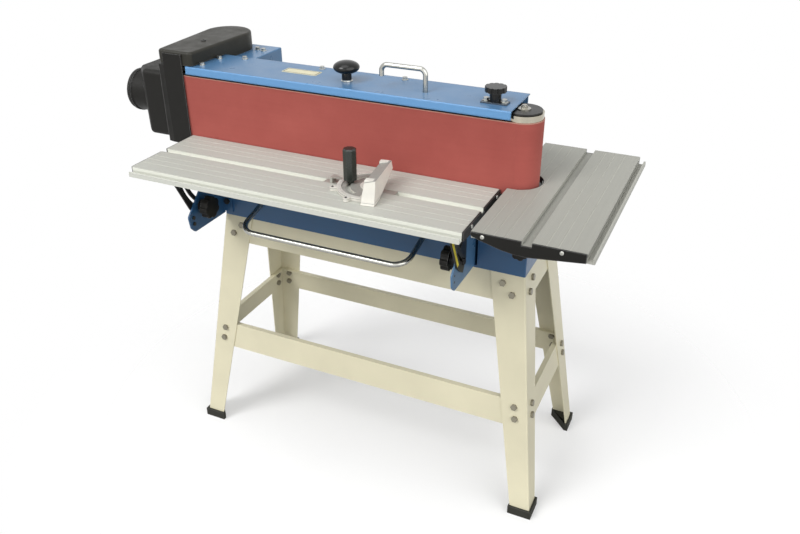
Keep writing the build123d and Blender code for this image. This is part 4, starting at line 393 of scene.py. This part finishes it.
def moulded(name, color, roughness, grain, bump, wear_and_highlight=0.35, gloss=0.25, washer=None):
    """Moulded plastic with a fine pebbled skin, paler at its edges, partly rubbed and partly painted highlight.

    Below the height washer, if one is given, it is a bright plated washer instead.
    """
    s = Shader(name)
    cloud = s.span(s.noise(scale=12.0, detail=4.0), 0.3, 0.7)
    tone = s.blend(cloud, shade(color, 0.82), shade(color, 1.18))
    rubbed_and_lit = (*(0.14 + 0.9 * part for part in color[:3]), 1.0)
    tone = s.tint(s.edges(2.2 * MM), wear_and_highlight, tone, rubbed_and_lit)
    if washer:
        plated = s.below(s.along(Z), washer - 0.2 * MM, washer + 0.2 * MM)
        tone = s.blend(plated, tone, srgb(205, 204, 198))
        s.set(Metallic=plated)
    uneven = s.span(s.noise(scale=40.0), 0.3, 0.7, roughness - 0.05, roughness + 0.08)
    s.set(Base_Color=tone, Roughness=uneven, Specular_IOR_Level=gloss)
    s.set(Normal=s.bump(s.cells(grain), strength=bump, distance=0.4 * MM))
    return s.material


def abrasive():
    """Cloth-backed abrasive: dense grit, faint streaks along the run and a frayed pale edge."""
    s = Shader("abrasive_belt")
    color = srgb(153, 74, 67)
    dusty = srgb(192, 106, 96)
    backing = srgb(206, 184, 164)
    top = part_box("sanding_belt")[1].z
    grit = s.noise(scale=2600.0, rough=0.7)
    streak = s.noise(scale=1.0, detail=4.0, rough=0.6, vector=s.stretch((2.0, 2.0, 160.0)))
    cloud = s.noise(scale=9.0, detail=4.0, rough=0.6)
    tone = s.blend(s.span(grit, 0.32, 0.68), shade(color, 0.78), shade(color, 1.22))
    tone = s.blend(s.span(streak, 0.35, 0.75, 0.0, 0.30), tone, shade(color, 0.82))
    tone = s.blend(s.span(cloud, 0.35, 0.75, 0.0, 0.22), tone, dusty)
    ragged = s.span(s.noise(scale=900.0), 0.2, 0.8, -0.5 * MM, 0.5 * MM)
    frayed = s.math("ADD", s.along(Z), ragged)
    tone = s.blend(s.span(frayed, top - 2.1 * MM, top - 1.4 * MM, 0.0, 0.35), tone, backing)
    s.set(Base_Color=tone, Roughness=0.86, Specular_IOR_Level=0.3)
    s.set(Sheen_Weight=0.25, Sheen_Roughness=0.5, Sheen_Tint=srgb(220, 170, 160))
    s.set(Normal=s.bump(grit, strength=0.35, distance=0.6 * MM))
    return s.material


def printed(name, color, gloss, roughness):
    """A printed or painted foil, with slight fading."""
    s = Shader(name)
    fade = s.span(s.noise(scale=60.0, detail=4.0), 0.3, 0.7)
    uneven = s.span(s.noise(scale=300.0, detail=2.0), 0.3, 0.7, roughness - 0.05, roughness + 0.05)
    s.set(Base_Color=s.blend(fade, shade(color, 0.92), shade(color, 1.05)))
    s.set(Roughness=uneven, Specular_IOR_Level=gloss)
    s.set(Normal=s.bump(s.noise(scale=1500.0, detail=2.0), strength=0.05, distance=0.3 * MM))
    return s.material


stand_paint = enamel("stand_enamel", CREAM, roughness=0.38, coat=0.12, wear_and_highlight=0.35)
blue_paint = enamel("blue_enamel", BLUE, roughness=0.32, coat=0.12, wear_and_highlight=0.45)
# The top cover's enamel, with its front lip painted brighter as light
cover_paint = enamel("cover_enamel", BLUE, roughness=0.32, coat=0.12, wear_and_highlight=0.45,
                     patch=cover_lip_painted_light, roll=COVER_ROLL)
# The base's enamel: blue in painted shade, with its top painted black as shade
base_paint = enamel("base_enamel", SHADOWED_BLUE, roughness=0.36, coat=0.1, wear_and_highlight=0.3, patch=base_top_painted_shade)
# The right bracket's enamel, painted black round the hinge as shade
bracket_paint = enamel("bracket_enamel", BLUE, roughness=0.32, coat=0.12, wear_and_highlight=0.45, patch=hinge_painted_shade)
black_paint = enamel("black_enamel", SATIN_BLACK, roughness=0.42, coat=0.0, wear_and_highlight=0.35)
# Edges lightened in full: a painted highlight round the yoke's rim
yoke_black = enamel("yoke_enamel", srgb(15, 15, 14), roughness=0.34, coat=0.05, wear_and_highlight=1.0)

main_alloy = extruded(
    "drawn_alloy_along_x", srgb(189, 190, 182), run=X,
    slot_at=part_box("main_table")[1].y - SLOT_MIDDLE, top=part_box("main_table")[1].z,
    line=0.7, lip=0.75, gutter=1.6, slot_wall=1.62, slot_floor=1.2,
)
# The side table: the same alloy in a darker copy, painting the shade that falls on it
side_alloy = extruded(
    "drawn_alloy_along_y", srgb(163, 163, 155), run=Y,
    slot_at=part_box("side_table")[0].x + SLOT_MIDDLE, top=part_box("side_table")[1].z,
    line=0.6, lip=0.3, gutter=0.6, slot_wall=1.35, slot_floor=0.78, notch=NOTCH_R,
)

cast_alloy = bare_metal("cast_alloy", srgb(222, 219, 210), roughness=0.5, grain=900.0, bump=0.3,
                        metallic=0.15)
gauge_alloy = gauge_casting()
# Darkened edges: painted shade round the bar and its pointer
gauge_steel = bare_metal("gauge_steel", srgb(172, 171, 163), roughness=0.42, grain=1200.0, bump=0.1,
                         metallic=0.3, rim=0.5)
grey_alloy = bare_metal("motor_alloy", srgb(150, 152, 152), roughness=0.5, grain=700.0, bump=0.3,
                        metallic=0.6)
cast_iron = bare_metal("cast_iron", srgb(64, 65, 65), roughness=0.6, grain=420.0, bump=0.45, metallic=0.4)
zinc = bare_metal("zinc_plate", srgb(186, 186, 180), roughness=0.3, grain=1300.0, bump=0.12)
# Bolt heads with darkened rims: painted shade and reflection on them
dull_zinc = bare_metal("dull_zinc", srgb(138, 133, 117), roughness=0.36, grain=1300.0, bump=0.12,
                       metallic=0.4, rim=0.05, edge=2 * MM)
plate_zinc = bare_metal("plate_zinc", srgb(96, 104, 112), roughness=0.35, grain=1300.0, bump=0.12)
drum_steel = bare_metal("drum_steel", srgb(190, 184, 168), roughness=0.2, grain=1600.0, bump=0.06)
steel = bare_metal("bright_steel", srgb(176, 174, 166), roughness=0.24, grain=1600.0, bump=0.08)
chrome = bare_metal("satin_chrome", srgb(178, 178, 172), roughness=0.22, grain=1800.0, bump=0.05)

graphite = moulded("graphite_cloth", srgb(46, 47, 48), roughness=0.6, grain=1500.0, bump=0.3)
rubber = moulded("foot_rubber", srgb(46, 46, 41), roughness=0.72, grain=900.0, bump=0.25)
# Black plastics with strongly lightened edges: a painted highlight along their corners
black_plastic = moulded("black_plastic", srgb(16, 15, 12), roughness=0.46, grain=950.0, bump=0.35,
                        wear_and_highlight=0.9, gloss=0.2)
cover_plastic = moulded("cover_plastic", srgb(39, 38, 32), roughness=0.44, grain=950.0, bump=0.3, wear_and_highlight=0.8)
handle_plastic = moulded("handle_plastic", srgb(30, 35, 30), roughness=0.2, grain=1500.0, bump=0.03,
                         wear_and_highlight=0.3, gloss=0.6)
glossy_plastic = moulded("glossy_black_plastic", GLOSS_BLACK, roughness=0.16, grain=1500.0, bump=0.03,
                         wear_and_highlight=0.2, gloss=0.32)
knob_plastic = moulded("cover_knob_plastic", GLOSS_BLACK, roughness=0.16, grain=1500.0, bump=0.03,
                       wear_and_highlight=0.2, gloss=0.32, washer=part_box("top_cover")[1].z + KNOB_WASHER)
green_plastic = moulded("green_plastic", srgb(34, 128, 62), roughness=0.35, grain=1500.0, bump=0.1,
                        wear_and_highlight=0.1, gloss=0.5)
red_plastic = moulded("red_plastic", srgb(176, 32, 28), roughness=0.35, grain=1500.0, bump=0.1,
                      wear_and_highlight=0.1, gloss=0.5)

belt_cloth = abrasive()
scale_yellow = printed("scale_yellow", srgb(240, 222, 60), gloss=0.4, roughness=0.4)
mark_black = printed("mark_black", srgb(30, 30, 28), gloss=0.3, roughness=0.5)
mark_white = printed("mark_white", srgb(228, 228, 224), gloss=0.4, roughness=0.4)
plate_ivory = printed("plate_ivory", srgb(216, 210, 176), gloss=0.5, roughness=0.35)

# The finish of each material slot of the record
FINISH = {
    "stand_paint": stand_paint, "blue_paint": blue_paint, "black_paint": black_paint, "zinc": zinc,
    "steel": steel, "chrome": chrome, "table_alloy": main_alloy, "cast_alloy": cast_alloy,
    "cast_iron": cast_iron, "graphite": graphite, "abrasive": belt_cloth, "rubber": rubber,
    "black_plastic": black_plastic, "green_plastic": green_plastic, "red_plastic": red_plastic,
}
# The nodes whose finish differs from that of their slot
OWN_FINISH = {
    "base_housing": base_paint, "tilt_bracket_left": base_paint, "tilt_bracket_right": bracket_paint,
    "bracket_screws": black_paint, "top_cover": cover_paint, "idler_yoke": yoke_black,
    "side_table": side_alloy, "miter_head": gauge_alloy, "miter_bar": gauge_steel,
    "miter_handle": handle_plastic, "motor": grey_alloy, "idler_drum": drum_steel,
    "stand_bolts": dull_zinc, "tracking_plate": plate_zinc, "tracking_knob": glossy_plastic,
    "cover_knob": knob_plastic, "drive_cover": cover_plastic,
}
# The nodes with softened edges, by the width of the softening in millimetres
EDGE_ROUND_MM = {
    0.2: ("switch_box",),
    0.4: ("tracking_plate",),
    0.5: ("base_housing", "leg_front_left", "leg_front_right", "leg_rear_left", "leg_rear_right",
          "main_table", "side_table", "tilt_arm_left", "tilt_arm_right", "tilt_bracket_left",
          "tilt_bracket_right", "top_cover", "motor_housing", "miter_handle", "side_posts", "rear_guard"),
    0.6: ("upper_rails_long", "upper_rails_short", "lower_rails_long", "lower_rails_short",
          "table_end_plates", "side_end_plates"),
    1.0: ("miter_head", "stand_feet"),
}


def soften(node, width):
    """Breaks a node's sharp edges, over flat faces joined from their triangles."""
    weld = node.modifiers.new("weld", "WELD")
    weld.merge_threshold = 0.01 * MM
    flat = node.modifiers.new("flat", "DECIMATE")
    flat.decimate_type = "DISSOLVE"
    flat.angle_limit = math.radians(0.6)
    bevel = node.modifiers.new("bevel", "BEVEL")
    bevel.width = width
    bevel.segments = 2
    bevel.limit_method = "ANGLE"
    bevel.angle_limit = math.radians(42)
    bevel.use_clamp_overlap = True
    node.modifiers.new("normals", "WEIGHTED_NORMAL").keep_sharp = True


def dress_nodes():
    """Gives every CAD node its finish, and softens the edges of those seen close to."""
    slot_of = {part["node"]: part["material_slot"] for part in frame["record"]["subparts"]}
    for name, node in nodes.items():
        node.data.materials.clear()
        node.data.materials.append(OWN_FINISH.get(name) or FINISH[slot_of[name]])
    for width, names in EDGE_ROUND_MM.items():
        for name in names:
            soften(nodes[name], width * MM)


def add_piece(name, shape, material, body, smooth=35):
    """Turns a finished bmesh into a piece that rides on a body, sharp at edges past an angle in degrees."""
    bmesh.ops.recalc_face_normals(shape, faces=shape.faces)
    mesh = bpy.data.meshes.new(name)
    shape.to_mesh(mesh)
    shape.free()
    mesh.shade_smooth()
    mesh.set_sharp_from_angle(angle=math.radians(smooth))
    mesh.materials.append(material)
    piece = bpy.data.objects.new(name, mesh)
    scene.collection.objects.link(piece)
    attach(piece, body)
    return piece


def facing(point, normal, upward=Z):
    """A placement whose local z points along normal and whose local y points up."""
    z = Vector(normal).normalized()
    x = Vector(upward).cross(z).normalized()
    y = z.cross(x)
    turn = Matrix((x, y, z)).transposed().to_4x4()
    return Matrix.Translation(point) @ turn


def spun(angle):
    """A turn about the local z axis."""
    return Matrix.Rotation(angle, 4, "Z")


def circle(radius, count):
    """The outline of a circle, or of a polygon if the count is small."""
    steps = [2 * math.pi * i / count for i in range(count)]
    return [(radius * math.cos(angle), radius * math.sin(angle)) for angle in steps]


def cross(reach, half):
    """The outline of a cross recess."""
    corner = [(half, reach), (-half, reach), (-half, half)]
    points = []
    for quarter in range(4):
        turn = Matrix.Rotation(quarter * math.pi / 2, 2)
        points.extend(tuple(turn @ Vector(point)) for point in corner)
    return points


def rounded(width, height, radius, count=6):
    """The outline of a rectangle with round corners, about its middle."""
    points = []
    for i, (side_x, side_y) in enumerate(((1, 1), (-1, 1), (-1, -1), (1, -1))):
        middle_x = side_x * (width / 2 - radius)
        middle_y = side_y * (height / 2 - radius)
        for step in range(count + 1):
            angle = math.pi / 2 * (i + step / count)
            points.append((middle_x + radius * math.cos(angle), middle_y + radius * math.sin(angle)))
    return points


def loop_of(shape, place, points, height):
    """New vertices on an outline, at a height over a placement."""
    return [shape.verts.new(place @ Vector((x, y, height))) for x, y in points]


def bridge(shape, low, high):
    """Quads between two loops of the same length."""
    count = len(low)
    for i in range(count):
        j = (i + 1) % count
        shape.faces.new((low[i], low[j], high[j], high[i]))


def add_ring(shape, place, section):
    """A closed ring swept round the outlines and heights of its section."""
    loops = [loop_of(shape, place, outline, height) for outline, height in section]
    for low, high in zip(loops, loops[1:] + loops[:1]):
        bridge(shape, low, high)


def edges_of(shape, loop):
    """The edges round a loop, made where they are missing."""
    found = []
    for a, b in zip(loop, loop[1:] + loop[:1]):
        found.append(shape.edges.get((a, b)) or shape.edges.new((a, b)))
    return found


def add_screw(shape, place, radius, height, recess):
    """A pan-head screw that stands on a face, with a recess of a given outline in its top."""
    profile = ((1.0, 0.0), (1.0, 0.4), (0.95, 0.68), (0.84, 0.88), (0.70, 1.0))
    sides = 32
    recess_floor = 0.3 * height
    loops = [loop_of(shape, place, circle(radius * r, sides), height * h) for r, h in profile]
    for low, high in zip(loops, loops[1:]):
        bridge(shape, low, high)
    shape.faces.new(loops[0])
    rim = loop_of(shape, place, recess, height)
    floor = loop_of(shape, place, recess, recess_floor)
    bmesh.ops.triangle_fill(shape, edges=edges_of(shape, loops[-1]) + edges_of(shape, rim), use_beauty=True)
    bridge(shape, rim, floor)
    shape.faces.new(floor)


def add_slab(shape, place, outline, low, high, edge):
    """A flat slab of a given outline with its upper edge broken."""
    middle = Vector((sum(x for x, y in outline), sum(y for x, y in outline))) / len(outline)
    inner = []
    for point in outline:
        out = Vector(point) - middle
        inner.append(tuple(middle + out * (1 - edge / out.length)))
    loops = [
        loop_of(shape, place, outline, low),
        loop_of(shape, place, outline, high - edge),
        loop_of(shape, place, inner, high),
    ]
    shape.faces.new(loops[0])
    for bottom, top in zip(loops, loops[1:]):
        bridge(shape, bottom, top)
    shape.faces.new(loops[-1])


def make_table_screws():
    """Cross-recess screws in the end plates of both tables, each stopped at a turn of its own."""
    recess = cross(0.5 * SCREW_HEAD_R, 0.13 * SCREW_HEAD_R)
    turn_per_radius = 0.4
    low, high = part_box("table_screws")
    shape = bmesh.new()
    for side, x in ((-1, low.x + SCREW_HEAD), (1, high.x - SCREW_HEAD)):
        for y in (low.y + SCREW_HEAD_R, high.y - SCREW_HEAD_R):
            place = facing((x, y, low.z + SCREW_HEAD_R), (side, 0, 0))
            spin = spun(turn_per_radius * y / SCREW_HEAD_R)
            add_screw(shape, place @ spin, SCREW_HEAD_R, SCREW_HEAD, recess)
    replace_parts(add_piece("main_plate_screws", shape, zinc, "tilting_table"), "table_screws")
    low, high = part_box("side_screws")
    shape = bmesh.new()
    for side, y in ((-1, low.y + SCREW_HEAD), (1, high.y - SCREW_HEAD)):
        for x in (low.x + SCREW_HEAD_R, high.x - SCREW_HEAD_R):
            place = facing((x, y, low.z + SCREW_HEAD_R), (0, side, 0))
            spin = spun(turn_per_radius * x / SCREW_HEAD_R)
            add_screw(shape, place @ spin, SCREW_HEAD_R, SCREW_HEAD, recess)
    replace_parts(add_piece("side_plate_screws", shape, zinc, "lifting_side_table"), "side_screws")


def make_drive_screw():
    """The dark socket screw on top of the drive cover."""
    low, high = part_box("drive_cover_screw")
    middle = (low + high) / 2
    radius = (high.x - low.x) / 2
    head = 2.5 * MM
    socket = circle(0.45 * radius, 6)
    place = facing((middle.x, middle.y, high.z - head), Z, Y)
    shape = bmesh.new()
    add_screw(shape, place, radius, head, socket)
    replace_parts(add_piece("drive_cover_socket_screw", shape, black_paint, "machine_body"),
                "drive_cover_screw")


def make_tilt_scale():
    """The yellow tilt scale stuck on the right arm, with its graduation."""
    radius = 142 * MM
    angle = math.radians(27)
    length = 86 * MM
    width = 7 * MM
    foil = rounded(length, width, 0.8 * MM)
    mark_count = 19
    mark_width = 0.5 * MM
    long_mark = 4.6 * MM
    short_mark = 2.8 * MM
    long_every = 3
    marked_length = length - 5 * MM
    margin = 0.4 * MM
    hinge = joint_at["table_tilt"]
    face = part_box("tilt_arm_right")[0].x + ARM_SHEET
    out = Vector((0, -math.cos(angle), -math.sin(angle)))
    middle = Vector((face, hinge.y, hinge.z)) + out * radius
    place = facing(middle, X, out)
    shape = bmesh.new()
    add_slab(shape, place, foil, low=0, high=0.35 * MM, edge=0.1 * MM)
    add_piece("tilt_scale", shape, scale_yellow, "tilting_table")
    shape = bmesh.new()
    for i in range(mark_count):
        tall = long_mark if i % long_every == 0 else short_mark
        x = (i / (mark_count - 1) - 0.5) * marked_length
        spot = place @ Matrix.Translation((x, width / 2 - tall / 2 - margin, 0))
        mark = rounded(mark_width, tall, 0.1 * MM, 1)
        add_slab(shape, spot, mark, low=0.3 * MM, high=0.42 * MM, edge=0.05 * MM)
    add_piece("tilt_scale_marks", shape, mark_black, "tilting_table")


def make_cover_plate():
    """A blank data plate on the cover: a pale field in a dark frame."""
    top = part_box("top_cover")[1].z
    place = facing((-132 * MM, 26 * MM, top), Z, Y)
    field = rounded(86 * MM, 31 * MM, 3 * MM)
    outer = rounded(81 * MM, 26 * MM, 2 * MM)
    inner = rounded(77.6 * MM, 22.6 * MM, 1.4 * MM)
    low = 0.5 * MM
    high = 0.64 * MM
    shape = bmesh.new()
    add_slab(shape, place, field, low=0, high=0.6 * MM, edge=0.2 * MM)
    add_piece("data_plate", shape, plate_ivory, "machine_body")
    shape = bmesh.new()
    add_ring(shape, place, ((outer, low), (outer, high), (inner, high), (inner, low)))
    add_piece("data_plate_frame", shape, mark_black, "machine_body")


def make_gauge_marks():
    """Degree marks round the miter plate's rim, and the stop screws in its lugs."""
    first_degree = 125
    last_degree = 235
    degree_step = 5
    long_every = 15
    mark_width = 0.55 * MM
    long_mark = 5.5 * MM
    short_mark = 3.5 * MM
    inner_end = GAUGE_POCKET_R + 1 * MM
    pivot = joint_at["miter_turn"]
    plate = Matrix.Translation((pivot.x, pivot.y, pivot.z + GAUGE_PLATE)) @ spun(GAUGE_TURN)
    shape = bmesh.new()
    for degrees in range(first_degree, last_degree + 1, degree_step):
        tall = long_mark if degrees % long_every == 0 else short_mark
        place = plate @ spun(math.radians(degrees)) @ Matrix.Translation((inner_end + tall / 2, 0, 0))
        mark = rounded(tall, mark_width, 0.1 * MM, 1)
        add_slab(shape, place, mark, low=-0.05 * MM, high=0.06 * MM, edge=0.02 * MM)
    add_piece("miter_scale_marks", shape, mark_black, "miter_head")
    socket = circle(1.1 * MM, 6)
    shape = bmesh.new()
    for angle in GAUGE_LUG_ANGLES:
        place = plate @ spun(angle) @ Matrix.Translation((GAUGE_LUG_R, 0, 0))
        add_screw(shape, place, radius=2.4 * MM, height=1.3 * MM, recess=socket)
    add_piece("miter_stop_screws", shape, black_paint, "miter_head")


def front_of(low, high):
    """A placement in the middle of a box's face towards +X."""
    return facing((high.x, (low.y + high.y) / 2, (low.z + high.z) / 2), X)


def make_button_marks():
    """A bar on the start button and a ring on the stop button."""
    place = front_of(*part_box("start_button"))
    bar = rounded(2 * MM, 9 * MM, 0.6 * MM)
    shape = bmesh.new()
    add_slab(shape, place, bar, low=-0.1 * MM, high=0.3 * MM, edge=0.1 * MM)
    add_piece("start_mark", shape, mark_white, "start_button")
    place = front_of(*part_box("stop_button"))
    section_mm = ((6.0, 0.0), (5.8, 0.3), (4.5, 0.3), (4.3, 0.0))
    sides = 48
    shape = bmesh.new()
    add_ring(shape, place, [(circle(r * MM, sides), h * MM) for r, h in section_mm])
    add_piece("stop_mark", shape, mark_white, "stop_button")


def make_louvres():
    """Pressed cooling louvres in the back of the motor box."""
    low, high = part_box("motor_housing")
    middle = Vector(((low.x + high.x) / 2, high.y, (low.z + high.z) / 2))
    length = 104 * MM
    drop = 9 * MM
    rise = 3.6 * MM
    rows = 6
    pitch = 19 * MM
    end_power = 8
    steps = 28
    sections = 6
    shape = bmesh.new()
    for row in range(rows):
        top = middle.z + ((rows - 1) / 2 - row) * pitch + drop / 2
        grid = []
        for i in range(steps + 1):
            u = 2 * i / steps - 1
            height = rise * math.sqrt(max(0.0, 1 - abs(u) ** end_power))
            line = []
            for k in range(sections + 1):
                angle = math.pi / 2 * k / sections
                y = middle.y + height * math.sin(angle)
                z = top - drop * (1 - math.cos(angle))
                line.append(shape.verts.new((middle.x - u * length / 2, y, z)))
            grid.append(line)
        for a, b in zip(grid, grid[1:]):
            for k in range(sections):
                shape.faces.new((a[k], b[k], b[k + 1], a[k + 1]))
    piece = add_piece("motor_louvres", shape, blue_paint, "machine_body", smooth=60)
    sheet = piece.modifiers.new("sheet", "SOLIDIFY")
    sheet.thickness = 0.9 * MM
    sheet.offset = 0.0


def floor_finish():
    """A pale matt floor, lifted towards white for the camera and fading out round the machine's shadow."""
    camera_glow = 0.28
    bounce = (0.5, 0.5, 0.49, 1.0)
    shadow_middle = (0.12, 0.16, 0.0)
    fade_start = 0.42
    fade_end = 1.1
    s = Shader("studio_floor")
    seen = s.add("LightPath").outputs["Is Camera Ray"]
    pale = s.blend(s.noise(scale=60.0, detail=4.0), grey(0.93), grey(0.95))
    s.set(Base_Color=s.blend(seen, bounce, pale), Roughness=0.9, Specular_IOR_Level=0.1)
    glow = s.add("Emission")
    s.put(glow.inputs["Strength"], 1.0)
    lit = s.add("MixShader")
    s.put(lit.inputs[0], s.math("MULTIPLY", seen, camera_glow))
    s.put(lit.inputs[1], s.surface.outputs[0])
    s.put(lit.inputs[2], glow.outputs[0])
    fade = s.add("MixShader")
    s.put(fade.inputs[0], s.span(s.away_from(shadow_middle, keep=(1, 1, 0)), fade_start, fade_end))
    s.put(fade.inputs[1], lit.outputs[0])
    s.put(fade.inputs[2], s.add("BsdfTransparent").outputs[0])
    s.put(s.output.inputs["Surface"], fade.outputs[0])
    return s.material


def make_floor():
    """A round floor that fades into the white backdrop and keeps the machine's shadow."""
    mesh = bpy.data.meshes.new("studio_floor")
    shape = bmesh.new()
    bmesh.ops.create_circle(shape, cap_ends=True, segments=96, radius=6.0)
    shape.to_mesh(mesh)
    shape.free()
    mesh.materials.append(floor_finish())
    floor = bpy.data.objects.new("studio_floor", mesh)
    scene.collection.objects.link(floor)


def make_world():
    """White to the camera and in reflections, softer as light on the object."""
    ambient_light = 0.16
    world = bpy.data.worlds.new("studio")
    scene.world = world
    world.use_nodes = True
    tree = world.node_tree
    tree.nodes.clear()
    path = tree.nodes.new("ShaderNodeLightPath")
    seen = path.outputs["Is Camera Ray"]
    for other in ("Is Glossy Ray", "Is Transmission Ray"):
        either = tree.nodes.new("ShaderNodeMath")
        either.operation = "MAXIMUM"
        tree.links.new(seen, either.inputs[0])
        tree.links.new(path.outputs[other], either.inputs[1])
        seen = either.outputs[0]
    mix = tree.nodes.new("ShaderNodeMixShader")
    tree.links.new(seen, mix.inputs[0])
    for socket, strength in zip(mix.inputs[1:], (ambient_light, 1.0)):
        background = tree.nodes.new("ShaderNodeBackground")
        background.inputs["Color"].default_value = grey(1.0)
        background.inputs["Strength"].default_value = strength
        tree.links.new(background.outputs[0], socket)
    tree.links.new(mix.outputs[0], tree.nodes.new("ShaderNodeOutputWorld").inputs[0])


def make_lamp(name, toward, strength, softness):
    """A broad studio lamp, far off, shining along a direction. Its softness is an angle in degrees."""
    lamp = bpy.data.lights.new(name, "SUN")
    lamp.energy = strength
    lamp.angle = math.radians(softness)
    holder = bpy.data.objects.new(name, lamp)
    holder.rotation_euler = Vector(toward).to_track_quat("-Z", "Y").to_euler()
    scene.collection.objects.link(holder)


def make_camera():
    """The photograph's view, solved from the machine's own edges."""
    image_width = 800
    focal_pixels = 802.16
    sensor = 36.0
    yaw = math.radians(24.79)
    pitch = math.radians(29.45)
    roll = math.radians(-0.16)
    lens = bpy.data.cameras.new("photo_camera")
    lens.sensor_width = sensor
    lens.lens = sensor * focal_pixels / image_width
    lens.clip_start = 0.05
    camera = bpy.data.objects.new("photo_camera", lens)
    scene.collection.objects.link(camera)
    level = math.cos(pitch)
    ahead = Vector((-math.sin(yaw) * level, math.cos(yaw) * level, -math.sin(pitch)))
    camera.location = (0.79056, -1.46212, 1.42710)
    camera.rotation_mode = "QUATERNION"
    camera.rotation_quaternion = ahead.to_track_quat("-Z", "Y") @ Quaternion(Z, roll)
    scene.camera = camera


make_camera()
make_world()
make_floor()
make_lamp("key_lamp", toward=(0.42, 0.74, -0.80), strength=1.9, softness=30)
make_lamp("top_lamp", toward=(0.12, 0.10, -1.0), strength=0.75, softness=40)
make_lamp("front_lamp", toward=(0.10, 0.95, -0.25), strength=0.6, softness=60)
make_lamp("fill_lamp", toward=(-0.88, 0.42, -0.50), strength=2.15, softness=70)
dress_nodes()
make_table_screws()
make_drive_screw()
make_tilt_scale()
make_cover_plate()
make_gauge_marks()
make_button_marks()
make_louvres()

scene.view_settings.view_transform = "Standard"
